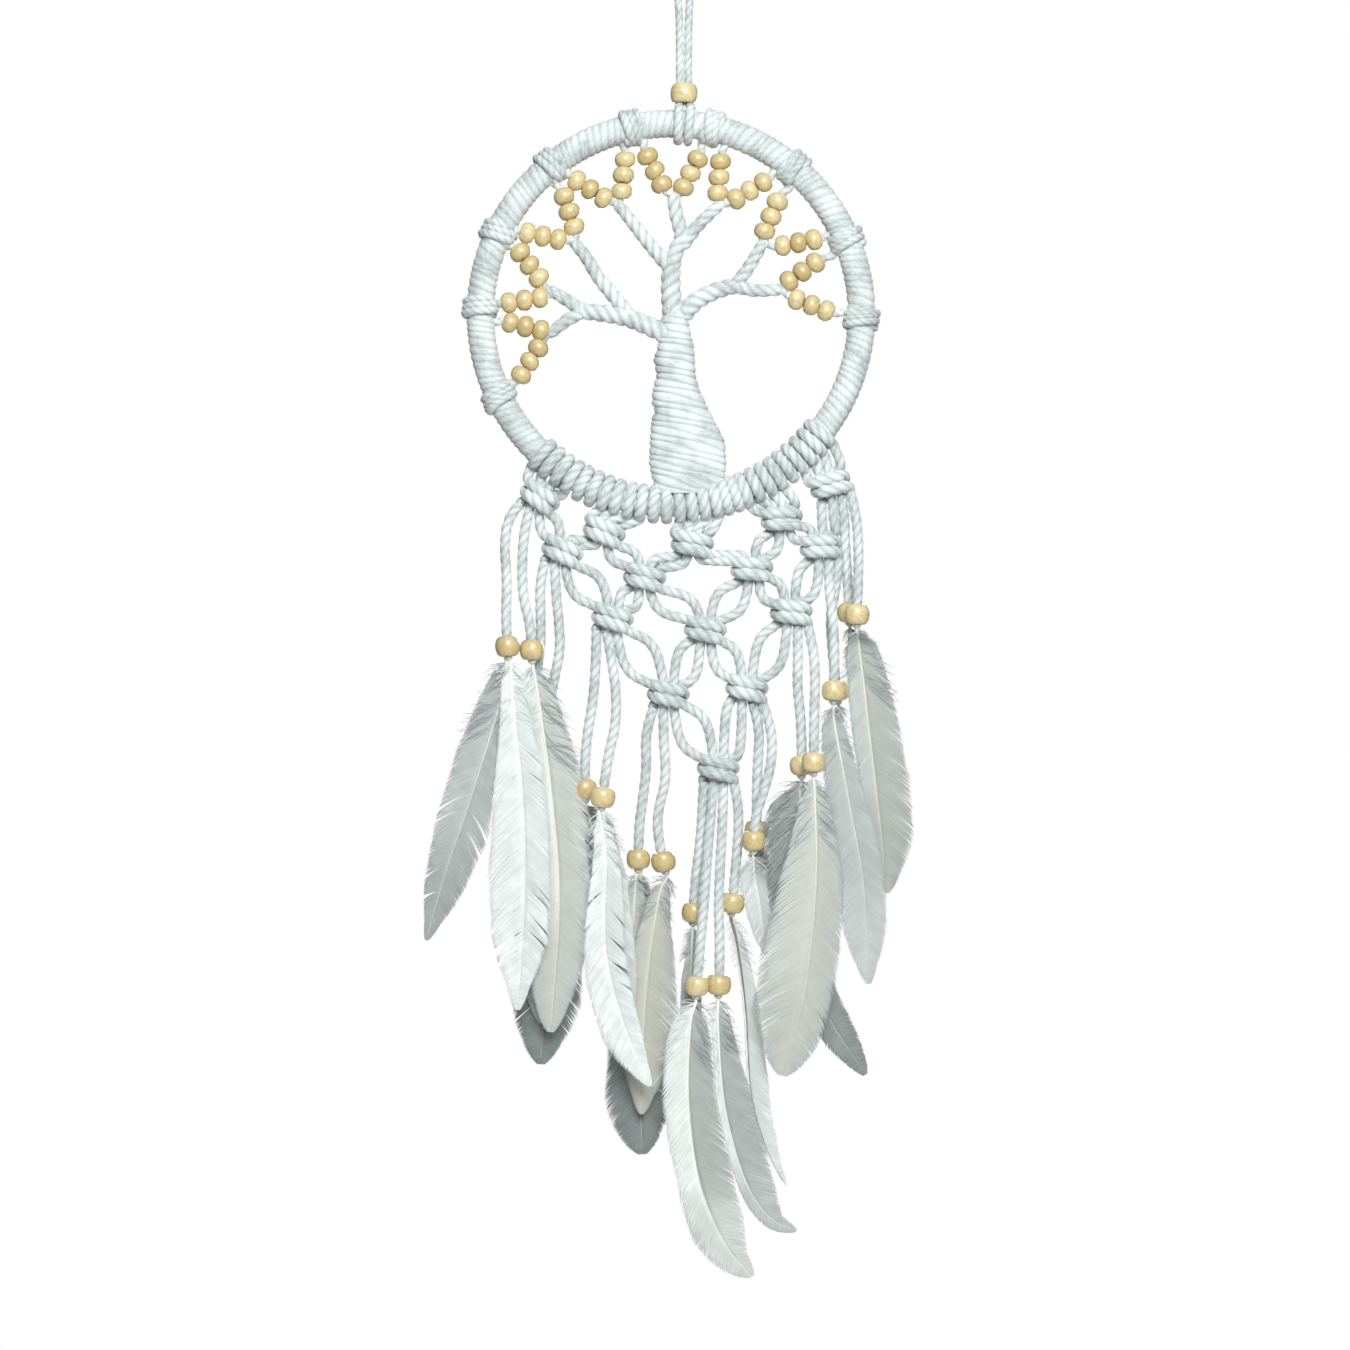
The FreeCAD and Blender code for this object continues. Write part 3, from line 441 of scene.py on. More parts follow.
class Shape:
    """Vertices and faces gathered from several solids, with named values per vertex."""

    def __init__(self):
        self.points, self.faces, self.values, self.count = [], [], {}, 0

    def add(self, points, faces, **values):
        points = np.asarray(points, float).reshape(-1, 3)
        for face_set in faces:
            self.faces += (face_set + self.count).tolist()
        for name, value in values.items():
            value = np.asarray(value, float)
            whole = np.broadcast_to(value, (len(points), *value.shape[1:]))
            self.values.setdefault(name, []).append(whole)
        self.points.append(points)
        self.count += len(points)

    def piece(self, name, slot):
        """The gathered solids as one smooth object, in metres, in the slot's material."""
        mesh = bpy.data.meshes.new(name)
        points = np.concatenate(self.points) * MM
        mesh.from_pydata(points, [], self.faces, shade_flat=False)
        for key, parts in self.values.items():
            value = np.concatenate(parts)
            kind, field = ("FLOAT", "value") if value.ndim == 1 else ("FLOAT_VECTOR", "vector")
            layer = mesh.attributes.new(key, kind, "POINT")
            layer.data.foreach_set(field, value.ravel())
        mesh.materials.append(MATERIALS[slot])
        piece = bpy.data.objects.new(name, mesh)
        bpy.context.collection.objects.link(piece)
        return piece


def quads(rows, columns, closed=False):
    """Faces over a grid of points whose columns close on themselves, and its rows if asked."""
    index = np.arange(rows * columns).reshape(rows, columns)
    if closed:
        index = np.concatenate([index, index[:1]])
    beside = np.roll(index, -1, axis=1)
    return np.stack([index[:-1], beside[:-1], beside[1:], index[1:]], -1).reshape(-1, 4)


def caps(rows, columns):
    """Triangles from the first ring to the next point after the grid, and from the last ring
    to the one after that."""
    ring = np.arange(columns)
    beside = np.roll(ring, -1)
    last = (rows - 1) * columns
    start = np.full(columns, rows * columns)
    return np.concatenate([np.stack([beside, ring, start], -1),
                           np.stack([ring + last, beside + last, start + 1], -1)])


def tube(shape, line, reach, **values):
    """A closed solid about a line. Reach is its radius for each ring and each of its sides,
    and a value is one number, or one for each point of the grid."""
    rows, columns = reach.shape
    normals, across = carried(line)
    around = np.linspace(0, 2 * np.pi, columns, endpoint=False)
    ring = (np.cos(around)[:, None] * normals[:, None]
            + np.sin(around)[:, None] * across[:, None])
    points = line[:, None] + ring * reach[..., None]
    for name, value in values.items():
        if np.ndim(value):
            ends = value[[0, -1]].mean(axis=1)
            values[name] = np.concatenate([value.reshape(-1, *value.shape[2:]), ends])
    points = np.concatenate([points.reshape(-1, 3), line[[0, -1]]])
    shape.add(points, [quads(rows, columns), caps(rows, columns)], **values)


def rope(shape, line, radius, plies=3, lay=LAY, sides=20, depth=PLY_DEPTH,
         round_ends=(True, True)):
    """A twisted cord along a line, with the place of each point among its fibres, which run
    nearly along it."""
    rows = len(line)
    length = spans(line).sum()
    travelled = np.linspace(0, length, rows)[:, None]
    around = np.linspace(0, 2 * np.pi, sides, endpoint=False)[None, :]
    phase = plies * (around - 2 * np.pi * travelled / lay)
    # the groove profile between plies; the cotton material also darkens the colour by it, as
    # painted shade in the grooves
    crease = np.abs(np.sin(phase / 2)) ** 3
    size = np.broadcast_to(np.asarray(radius, float).reshape(-1, 1), (rows, 1))
    reach = size * (1 - depth * crease)
    for end, distance in enumerate((travelled, length - travelled)):
        if round_ends[end]:
            dome = np.clip(1 - distance / size, 0, 0.95)
            reach = reach * np.sqrt(1 - dome**2)
    core = float(size.max())
    fibre = np.stack(np.broadcast_arrays(
        core * np.cos(around), core * np.sin(around), travelled / FIBRE_STRETCH), axis=-1)
    tube(shape, line, reach, fibre=fibre + draws.uniform(0, 100, 3), crease=crease)


# --- materials ---


def new_material(name):
    material = bpy.data.materials.new(name)
    material.use_nodes = True
    tree = material.node_tree
    return material, tree, tree.nodes["Principled BSDF"]


def fill(tree, made, inputs):
    """A node's inputs, which are values or other nodes' outputs."""
    for key, value in inputs.items():
        if isinstance(value, bpy.types.NodeSocket):
            tree.links.new(value, made.inputs[key])
        else:
            made.inputs[key].default_value = value


def node(tree, kind, inputs, **settings):
    made = tree.nodes.new(kind)
    for key, value in settings.items():
        setattr(made, key, value)
    fill(tree, made, inputs)
    return made


def attribute(tree, name, output="Fac"):
    return node(tree, "ShaderNodeAttribute", {}, attribute_name=name).outputs[output]


def noise(tree, vector, scale, detail):
    inputs = {"Vector": vector, "Scale": scale, "Detail": detail}
    return node(tree, "ShaderNodeTexNoise", inputs).outputs["Fac"]


def blended(tree, factor, first, second):
    """Two colours mixed by a factor."""
    inputs = {0: factor, 6: first, 7: second}
    return node(tree, "ShaderNodeMix", inputs, data_type="RGBA").outputs[2]


def spread(tree, value, low, high, to_low=0.0, to_high=1.0):
    inputs = {0: value, 1: low, 2: high, 3: to_low, 4: to_high}
    return node(tree, "ShaderNodeMapRange", inputs).outputs[0]


def bump(tree, height, strength, distance):
    inputs = {"Height": height, "Strength": strength, "Distance": distance}
    return node(tree, "ShaderNodeBump", inputs).outputs["Normal"]


def object_place(tree):
    """The place on the object in millimetres."""
    place = node(tree, "ShaderNodeTexCoord", {}).outputs["Object"]
    return node(tree, "ShaderNodeVectorMath", {0: place, "Scale": 1 / MM},
                operation="SCALE").outputs[0]


def cotton(name, light, shade):
    """Twisted cotton: fine fibres along the cord, with painted shade in the grooves, and a soft
    sheen.
    """
    material, tree, shader = new_material(name)
    fibre = attribute(tree, "fibre", "Vector")
    strands = noise(tree, fibre, 2.6, 4)
    patches = spread(tree, noise(tree, object_place(tree), 0.09, 2), 0.35, 0.65)
    fine = blended(tree, spread(tree, strands, 0.3, 0.7), shade, light)
    toned = blended(tree, patches, fine, light)
    # painted shade: the colour goes toward the shade colour in the grooves between plies and
    # turns
    painted_groove_shade = spread(tree, attribute(tree, "crease"), 0.25, 1, 0, 0.5)
    fill(tree, shader, {
        "Base Color": blended(tree, painted_groove_shade, toned, shade), "Roughness": 0.86,
        "Sheen Weight": 0.3, "Sheen Roughness": 0.5, "Specular IOR Level": 0.25,
        "Normal": bump(tree, strands, 0.55, 0.0004),
    })
    return material


def lacquered_wood():
    """Pale turned wood with fine grain under clear lacquer, no two beads alike."""
    material, tree, shader = new_material("lacquered_wood")
    grain = attribute(tree, "grain", "Vector")
    tint = attribute(tree, "tint")
    rings = noise(tree, node(tree, "ShaderNodeVectorMath", {0: grain, 1: (0.9, 0.9, 0.16)},
                             operation="MULTIPLY").outputs[0], 0.9, 5)
    pale, ochre, brown = (0.72, 0.61, 0.34, 1), (0.50, 0.38, 0.16, 1), (0.28, 0.18, 0.07, 1)
    base = blended(tree, tint, pale, ochre)
    lines = blended(tree, spread(tree, rings, 0.44, 0.68, 0, 0.35), base, brown)
    fill(tree, shader, {"Base Color": lines, "Roughness": 0.42, "Coat Weight": 0.6,
                        "Coat Roughness": 0.28, "Normal": bump(tree, rings, 0.12, 0.0003)})
    return material


def feather_material(name):
    """Barbs from white to slate by the 'dark' value, warmer by the 'cream' value."""
    material, tree, shader = new_material(name)
    dark, cream = attribute(tree, "dark"), attribute(tree, "cream")
    white, slate = (0.92, 0.985, 0.975, 1), (0.15, 0.185, 0.185, 1)
    ivory, umber = (0.88, 0.85, 0.66, 1), (0.10, 0.05, 0.02, 1)
    mottle = spread(tree, noise(tree, object_place(tree), 0.16, 4), 0.35, 0.65, -0.03, 0.03)
    depth = node(tree, "ShaderNodeMath", {0: dark, 1: mottle}, operation="ADD",
                 use_clamp=True).outputs[0]
    share = node(tree, "ShaderNodeMath", {0: depth, 1: 0.65}, operation="POWER").outputs[0]
    vane = blended(tree, share, white, slate)
    warm = blended(tree, cream, vane, ivory)
    coloured = blended(tree, attribute(tree, "brown"), warm, umber)
    fill(tree, shader, {"Base Color": coloured, "Roughness": 0.52, "Sheen Weight": 0.15,
                        "Specular IOR Level": 0.3})
    return material


def plain_steel():
    material, tree, shader = new_material("rod_steel")
    streaks = noise(tree, object_place(tree), 1.5, 3)
    colour = blended(tree, streaks, (0.42, 0.42, 0.43, 1), (0.6, 0.6, 0.6, 1))
    fill(tree, shader, {"Base Color": colour, "Metallic": 1.0, "Roughness": 0.35})
    return material


def cord_bundle():
    """Loose cord ends, packed inside the trunk."""
    material, tree, shader = new_material("cord_bundle")
    ends = noise(tree, object_place(tree), 0.8, 4)
    colour = blended(tree, ends, (0.55, 0.55, 0.52, 1), (0.78, 0.79, 0.77, 1))
    fill(tree, shader, {"Base Color": colour, "Roughness": 0.9,
                        "Normal": bump(tree, ends, 0.5, 0.0005)})
    return material


# The material of each slot.
MATERIALS = {
    "cotton_cord": cotton("cotton_cord", (0.70, 0.765, 0.76, 1), (0.27, 0.32, 0.325, 1)),
    "thin_string": cotton("thin_cotton", (0.68, 0.735, 0.715, 1), (0.31, 0.35, 0.335, 1)),
    "turned_wood": lacquered_wood(),
    "white_feather": feather_material("white_feather"),
    "grey_feather": feather_material("grey_feather"),
}


# --- scene ---


def put(data, place, turn):
    """An object of the data's name, at a place and turned."""
    holder = bpy.data.objects.new(data.name, data)
    holder.location = place
    holder.rotation_euler = turn
    bpy.context.collection.objects.link(holder)
    return holder


def make_camera():
    """Straight on, holding some of the cord above the hoop and all that hangs below."""
    camera = bpy.data.cameras.new("camera")
    camera.lens = 85
    camera.sensor_width = 36
    bpy.context.scene.camera = put(camera, (-0.0038, -1.3388, -0.3045), (math.pi / 2, 0, 0))


def make_light(name, place, size, energy):
    """A square light, in metres and watts, turned to the middle of the dream catcher."""
    light = bpy.data.lights.new(name, "AREA")
    light.size = size
    light.energy = energy
    x, y, z = np.array(place) - (0, 0, -0.3)
    put(light, place, (math.acos(z / math.hypot(x, y, z)), 0, math.atan2(y, x) + math.pi / 2))


def make_stage():
    """A pale floor well below, a white surround, and soft light mostly from the front."""
    bpy.context.scene.view_settings.view_transform = "Standard"
    bpy.ops.mesh.primitive_circle_add(vertices=96, radius=0.68, fill_type="NGON",
                                      location=(0, 0, -0.75))
    floor = bpy.context.object
    floor.name = "floor"
    material, tree, shader = new_material("floor")
    fill(tree, shader, {"Base Color": (0.92, 0.92, 0.91, 1), "Roughness": 0.9})
    floor.data.materials.append(material)
    world = bpy.data.worlds.new("surround")
    world.use_nodes = True
    tree = world.node_tree
    seen = node(tree, "ShaderNodeLightPath", {}).outputs["Is Camera Ray"]
    fill(tree, tree.nodes["Background"],
         {"Color": (1, 1, 1, 1), "Strength": spread(tree, seen, 0, 1, 0.1, 1.0)})
    bpy.context.scene.world = world
    make_light("key", (0.12, -1.15, 0.3), 0.6, 21)
    make_light("fill", (0.9, -1.2, -0.1), 0.9, 1.5)
    make_light("back", (0.1, 1.3, -0.1), 0.5, 14)
    make_light("top", (0, -0.1, 1.3), 1.2, 4)


# --- cords that hang free ---


def make_loop():
    """The doubled cord over the nail."""
    route = LOOP_HALF + [(-x, y, z) for x, y, z in reversed(LOOP_HALF)]
    line = drawn(route)
    shape = Shape()
    rope(shape, line, LOOP_CORD / 2, lay=LOOP_LAY)
    piece = shape.piece("hanging_cord", "cotton_cord")
    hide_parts("hanging_loop")
    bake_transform(piece)


def bead_of(knot, number):
    """The middle of a strand's bead, and the way down its bore."""
    above, middle = np.array(STRANDS[knot][number][-1][-2:], float)
    return middle, unit(middle - above)


def make_strands(knot):
    """The free cords below a knot, each down to its bead."""
    for number, (slot, length, points) in enumerate(STRANDS[knot]):
        foot = foot_place(knot, slot)
        line = drawn([foot, *points])
        shape = Shape()
        rope(shape, line, CORD / 2, round_ends=(False, True))
        piece = shape.piece(f"strand_{knot}_{number}", "cotton_cord")
        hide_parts(f"strands_{knot}")
        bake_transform(piece)


# --- beads ---


def bead(shape, middle, along, size, sides=28, tilt=0.03):
    """A turned bead with rounded rims about its bore, a little uneven."""
    diameter, height, bore = size
    grown = draws.uniform(0.97, 1.03)
    rim = bore / 2 + 0.15
    roll = np.linspace(-0.5, 0.5, 17) * np.pi
    heights = np.sin(roll) * height / 2 * grown
    radii = rim + (diameter / 2 * grown - rim) * np.cos(roll) ** 0.88
    heights = np.concatenate([heights, np.array([0.42, 0, -0.42]) * height])
    radii = np.concatenate([radii, np.full(3, bore / 2)])
    axis = unit(unit(np.array(along, float)) + draws.normal(0, tilt, 3))
    across = unit(np.cross(axis, (0.3, 1, 0.2)))
    aside = np.cross(axis, across)
    around = np.linspace(0, 2 * np.pi, sides, endpoint=False)
    ring = np.cos(around)[:, None] * across + np.sin(around)[:, None] * aside
    local = radii[:, None, None] * ring[None] + heights[:, None, None] * axis
    points = np.array(middle) + local
    lean = unit(draws.normal(0, 1, (3, 3)))
    shape.add(points, [quads(len(radii), sides, closed=True)[:, ::-1]],
              grain=local.reshape(-1, 3) @ lean + draws.uniform(0, 50, 3),
              tint=draws.beta(2, 2.2))


def make_tree_beads():
    for side, legs in BEAD_LEGS.items():
        shape = Shape()
        for first, last in legs:
            start, end = (HOOP_CENTRE + place for place in in_plane([first, last]))
            for share in (0, 0.5, 1):
                bead(shape, start + (end - start) * share, end - start, TREE_BEAD, tilt=0.09)
        piece = shape.piece(f"tree_bead_set_{side}", "turned_wood")
        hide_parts(f"tree_beads_{side}")
        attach(piece, HOOP)


def make_strand_beads(knot, body):
    """The beads at the ends of a knot's strands, and the cord's glued end under each."""
    beads, ends = Shape(), Shape()
    for number in range(len(STRANDS[knot])):
        middle, down = bead_of(knot, number)
        bead(beads, middle, down, STRAND_BEAD, sides=36)
        line = evenly(np.stack([middle + down * 2.5, middle + down * 6.2]), 0.45)
        rope(ends, line, 2.05, lay=9)
    piece = beads.piece(f"strand_beads_{knot}", "turned_wood")
    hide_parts(f"beads_{knot}")
    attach(piece, body)
    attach(ends.piece(f"cord_ends_{knot}", "cotton_cord"), body)


def make_top_bead():
    shape = Shape()
    bead(shape, (0, 0, TOP_BEAD_Z), (0, 0, 1), TOP_BEAD, sides=44)
    piece = shape.piece("top_bead_turned", "turned_wood")
    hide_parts("top_bead")
    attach(piece, "top_bead")


# --- hoop ---

WRAP_TURNS = 165
WRAP_GRID = (WRAP_TURNS * 8, 60)  # points along and round the hoop's tube
WRAP_LEAN = 0.3  # how far a turn leans across the front, in turns
WRAP_GIRTH = 38  # round the hoop's tube
WRAP_GROOVE = 0.75  # depth between two turns
WRAP_PLY = 0.16  # depth between two plies
SUNK_WRAP = 5.2  # radius of the wrap where the net's cords cover it
COVERED = (226.5, 321)
HITCH_CORD = 4.9  # across a net cord where it is pressed against its neighbours on the hoop
HITCH_REACH = 5.95  # from the tube's line to the middle of a net cord that goes round it
FOLD_REACH = 9.6  # to a lark's head's fold behind the hoop
TURN_POINTS = 46
TUCK = 0.12  # of a turn, at either end, that goes under its neighbour
HANGER_REACH = 7.2  # to the doubled cord's turns
HANGER_ASIDE = 2.3  # from the middle of its lark's head to either turn


def wound_ridge(place, roundness):
    """Where the points are across their turn, from -1 to 1, and how far they stand out."""
    across = 2 * (place % 1) - 1
    return across, np.sqrt(1 - roundness * across**2)


def wound_fibre(across, place, round_core):
    """Where the points of a wound cord are among its fibres."""
    parts = np.broadcast_arrays(across * 1.5, place * 3.1, round_core / FIBRE_STRETCH)
    return np.stack(parts, axis=-1)


def make_hoop_wrap():
    """The cord wound on the rod, as a ring with a ridge for each turn and its plies."""
    rows, columns = WRAP_GRID
    turn = np.linspace(0, 360, rows, endpoint=False)[:, None]
    roll = np.linspace(0, 360, columns, endpoint=False)[None, :]
    waver = 0.16 * np.sin(np.radians(turn) * 23 + 1) + 0.13 * np.sin(np.radians(turn) * 41)
    place = WRAP_TURNS * turn / 360 + roll / 360 + WRAP_LEAN * np.cos(np.radians(roll)) + waver
    across, ridge = wound_ridge(place, 0.92)
    plies = np.abs(np.sin(np.radians(roll) * 6.5 + across * 1.5 + np.floor(place) * 2.4)) ** 2
    covered = (turn > COVERED[0]) & (turn < COVERED[1])
    radius = np.where(covered, SUNK_WRAP, WRAP_RADIUS - 0.05)
    reach = radius - WRAP_GROOVE * (1 - ridge) - WRAP_PLY * plies * ridge
    points = hoop_place(turn + 0 * roll, roll + 0 * turn, reach)
    # painted shade: darker colour in the grooves between turns and between plies
    crease = np.clip(1.1 - ridge, 0, 1) + 0.25 * plies
    fibre = wound_fibre(across, place, roll / 360 * WRAP_GIRTH)
    shape = Shape()
    shape.add(points, [quads(rows, columns, closed=True)], fibre=fibre.reshape(-1, 3),
              crease=crease.ravel())
    piece = shape.piece("hoop_wrap_cord", "cotton_cord")
    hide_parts("hoop_wrap")
    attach(piece, HOOP)


def wound(shape, angle, turns, pitch, reach, cord, start=0.0, lean=0.0):
    """Turns of cord round the hoop's tube about an angle, their ends tucked in."""
    share = np.linspace(0, 1, round(turns * TURN_POINTS))
    roll = start + 360 * turns * share
    along = (share - 0.5) * turns * hoop_degrees(pitch)
    place = angle + along + hoop_degrees(lean) * np.cos(np.radians(roll))
    tucked = np.clip(np.minimum(share, 1 - share) * turns / TUCK, 0, 1)
    radius = reach - (1 - tucked) * cord * 0.9
    rope(shape, evenly(hoop_place(place, roll, radius), STEP), cord / 2, lay=9, sides=16)


def make_lashings():
    """Three proud turns at each place where the bead string is tied, and one across them."""
    shape = Shape()
    for number, angle in enumerate(LASHING_ANGLES):
        wound(shape, angle, 3, 2.5, 6.2, 3.5, start=170 + 20 * number, lean=0.5)
        wound(shape, angle + 0.6, 1.1, -3.5, 6.5, 3.4, start=185, lean=1.2)
    piece = shape.piece("lashing_cords", "cotton_cord")
    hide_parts("hoop_lashings")
    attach(piece, HOOP)


def make_hanger():
    """The lark's head of the doubled cord: two turns over the front, the fold behind."""
    shape = Shape()
    span = hoop_degrees(HANGER_ASIDE)
    for side in (-1, 1):
        angle = HANGER_ANGLE + side * span
        turn = [hoop_place(angle, roll, HANGER_REACH) for roll in range(0, -300, -25)]
        fold = [hoop_place(HANGER_ANGLE + side * span * 0.7, 52, 8.6),
                hoop_place(HANGER_ANGLE, 50, 8.9)]
        foot = [(-side * LEG_ASIDE, 0.2, -61), (-side * 1.9, 0, -64.6)]
        rope(shape, drawn(foot + turn + fold), HANGER_CORD / 2, lay=LOOP_LAY)
    piece = shape.piece("hanger_hitch_cords", "cotton_cord")
    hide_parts("hanger_hitch")
    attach(piece, HOOP)


def make_spare_turns():
    """The turns of knotting cord between the lark's heads."""
    shape = Shape()
    for angle in SPARE_TURNS:
        wound(shape, angle, 1.06, 0.4, HITCH_REACH, HITCH_CORD, start=80)
    piece = shape.piece("hoop_hitch_turns", "cotton_cord")
    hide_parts("net_hitches")
    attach(piece, HOOP)


# --- net ---

# An outer cord's way through a square knot, from its own side over the middle pair, round the
# far side and back behind them: across from its side, depth and height.
OUTER_WAY = [
    (-8.2, -1, 4.4), (-4.2, -4.6, 3.3), (3.8, -4.9, 1.4), (7, -1.2, 0.9),
    (7, 1.2, -0.9), (3.8, 4.9, -1.4), (-4.2, 4.5, -3.3), (-7, 0.9, -4.9),
]
INNER_WAY = [(2.1, 0, 6), (2.05, 0, 0), (2.1, 0, -6)]
LEAF_FULLNESS = 0.5
KNOT_CORD = 5.6  # across a cord inside a knot
PRESSED = 9.5  # from the tube's line, where a cord begins to be pressed on the hoop


def knot_way(knot, slot):
    """The points of a cord's way through a knot. Slot 0 and 3 are the outer cords, and the
    right one goes behind where the left one goes in front."""
    side = -1 if slot in (1, 3) else 1
    way = OUTER_WAY if slot in (0, 3) else INNER_WAY
    return [knot_place(knot, side * across, up, side * depth) for across, depth, up in way]


def leaf_bend(start, end, slot):
    """The point that bows a cord between two knots: an outer cord leaves sideways and comes
    in from above, an inner one leaves downwards and comes in from the side."""
    middle = (np.array(start) + np.array(end)) / 2
    corner = (end[0], 0, start[2]) if slot in (0, 3) else (start[0], 0, end[2])
    return middle + (corner - middle) * LEAF_FULLNESS


def next_knot(knot, slot):
    """The knot and slot that a cord goes on to, or nothing where it becomes a strand."""
    row, place = int(knot[1]), int(knot[2])
    to_right = slot > 1
    lower = f"k{row + 1}{place if to_right else place - 1}"
    if lower not in KNOTS:
        return None
    return lower, slot - 2 if to_right else slot + 2


def hitch_way(angle, fold_angle):
    """From the lark's head's fold behind the hoop, over its top, down its front and under."""
    fold = [hoop_place(fold_angle, 48, FOLD_REACH),
            hoop_place((angle + fold_angle) / 2, 50, FOLD_REACH)]
    turn = [hoop_place(angle, roll, HITCH_REACH) for roll in range(72, 361, 24)]
    return fold + turn + [hoop_place(angle, 366, 7.4)]


def net_route(knot, slot):
    """A cord's whole way from the hoop down through the knots to where it hangs free."""
    angles = LEG_ANGLES[knot]
    fold_angle = sum(angles[:2] if slot < 2 else angles[2:]) / 2
    route = hitch_way(angles[slot], fold_angle)
    while True:
        route += knot_way(knot, slot)
        onward = next_knot(knot, slot)
        if onward is None:
            return route + [foot_place(knot, slot)]
        entry = knot_way(*onward)[0]
        route.append(leaf_bend(route[-1], entry, slot))
        knot, slot = onward


def net_radius(line):
    """Half a net cord's width along its way: it spreads in the knots and on the hoop."""
    x, y, z = (line - HOOP_CENTRE).T
    to_hoop = np.hypot(np.hypot(x, z) - HOOP_RADIUS, y)
    on_hoop = np.clip((PRESSED - to_hoop) / 2, 0, 1)
    in_knot = np.clip((np.abs(y) - 2) / 2, 0, 1) * (1 - on_hoop)
    return (CORD + (KNOT_CORD - CORD) * in_knot + (HITCH_CORD - CORD) * on_hoop) / 2


def make_net():
    """Twenty cords in four-cord groups, named for the knot of the first row they pass."""
    for row, knot in enumerate(LEG_ANGLES, start=1):
        shape = Shape()
        for slot in range(4):
            line = drawn(net_route(knot, slot)[::-1], 0.62)
            rope(shape, line, net_radius(line), sides=18, round_ends=(False, True))
        piece = shape.piece(f"net_cords_from_{knot}", "cotton_cord")
        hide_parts(f"net_knots_row_{row}", f"net_cords_row_{row}")
        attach(piece, HOOP)


# --- tree ---

TRUNK_GRID = (420, 72)  # points down and round the trunk
TRUNK_PITCH = 3.05
TRUNK_DEPTH = 7.4  # half of it, where the trunk is thickest
TRUNK_GROOVE = 1.05  # depth between two turns
TRUNK_LEAN = 0.26  # slope of the turns at the trunk's foot


def trunk_outline(height):
    """The trunk's middle and half its width at each height, rounded between its sections."""
    levels, *edges = np.array(TRUNK).T
    kernel = np.hanning(9) / np.hanning(9).sum()
    left, right = (
        np.convolve(np.pad(np.interp(-height, -levels, edge), 4, mode="edge"), kernel, "valid")
        for edge in edges
    )
    return (left + right) / 2, (right - left) / 2


def make_trunk():
    """The cord wound on the trunk, level at the top and sloping down to the right below."""
    top, foot = TRUNK[0][0], TRUNK[-1][0]
    rows, columns = TRUNK_GRID
    height = np.linspace(top, foot, rows)
    middle, half = trunk_outline(height)
    depth = np.minimum(half * 0.86, TRUNK_DEPTH)
    roll = np.linspace(0, 2 * np.pi, columns, endpoint=False)[None, :]
    down = (top - height) / (top - foot)
    slope = TRUNK_LEAN * down[:, None]
    aside = half[:, None] * np.cos(roll)
    waver = 0.12 * np.sin(height * 0.9) + 0.1 * np.sin(height * 0.37 + 1)
    level = ((top - height) / TRUNK_PITCH + waver)[:, None]
    place = level + (-slope * aside / TRUNK_PITCH - roll / (2 * np.pi))
    across, ridge = wound_ridge(place, 0.94)
    sink = TRUNK_GROOVE * (1 - ridge)
    points = np.stack([
        middle[:, None] + (half[:, None] - sink) * np.cos(roll),
        (depth[:, None] - sink) * np.sin(roll),
        height[:, None] + 0 * roll,
    ], axis=-1)
    # painted shade: darker colour in the grooves between turns
    crease = np.clip(1.1 - ridge, 0, 1)
    fibre = wound_fibre(across, place, roll * half[:, None])
    ends = [[middle[0], 0, top], [middle[-1], 0, foot]]
    faces = [face_set[:, ::-1] for face_set in (quads(rows, columns), caps(rows, columns))]
    shape = Shape()
    shape.add(np.concatenate([points.reshape(-1, 3), ends]), faces,
              fibre=np.pad(fibre.reshape(-1, 3), ((0, 2), (0, 0))),
              crease=np.pad(crease.ravel(), (0, 2)))
    piece = shape.piece("trunk_wrap_cord", "cotton_cord")
    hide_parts("trunk_wrap")
    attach(piece, HOOP)


def make_branches():
    for side, lengths in BRANCHES.items():
        shape = Shape()
        for first, last, points in lengths:
            line = through(in_plane(points), 0.6)
            radii = np.linspace(first, last, len(line)) / 2
            rope(shape, line, radii, lay=14, sides=24, depth=0.17)
        piece = shape.piece(f"branch_cords_{side}", "cotton_cord")
        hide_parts(f"branch_{side}")
        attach(piece, HOOP)


def leg_ends(first, last):
    """The middles of a leg's beads nearest to the hoop and to the tree."""
    ends = [HOOP_CENTRE + place for place in in_plane([first, last])]
    return ends if math.hypot(*first) > math.hypot(*last) else ends[::-1]


def make_bead_string():
    """The thin string through the tree's beads, and its thicker ties to hoop and branches."""
    shape = Shape()
    for side, legs in BEAD_LEGS.items():
        tie_starts = []
        for first, last in legs:
            outer, inner = leg_ends(first, last)
            along = unit(inner - outer)
            outward = unit(outer - HOOP_CENTRE)
            rope(shape, evenly(np.stack([outer, inner]), 1.0), STRING / 2, lay=5, sides=10)
            tie = [outer - along * 2.2, outer - along * 4.2, outer + outward * 9.5]
            rope(shape, drawn(tie, 0.5), HOOP_TIE / 2, **TIE_PLIES)
            tie_starts.append((inner + along * 2, inner + along * 4.4))
        for start, tip, end in zip(tie_starts[::2], in_plane(TIPS[side]), tie_starts[1::2]):
            rope(shape, drawn([*start, tip, *end[::-1]], 0.5), TIP_TIE / 2, **TIE_PLIES)
    piece = shape.piece("bead_string_cord", "thin_string")
    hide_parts("bead_string")
    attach(piece, HOOP)


# --- feathers ---

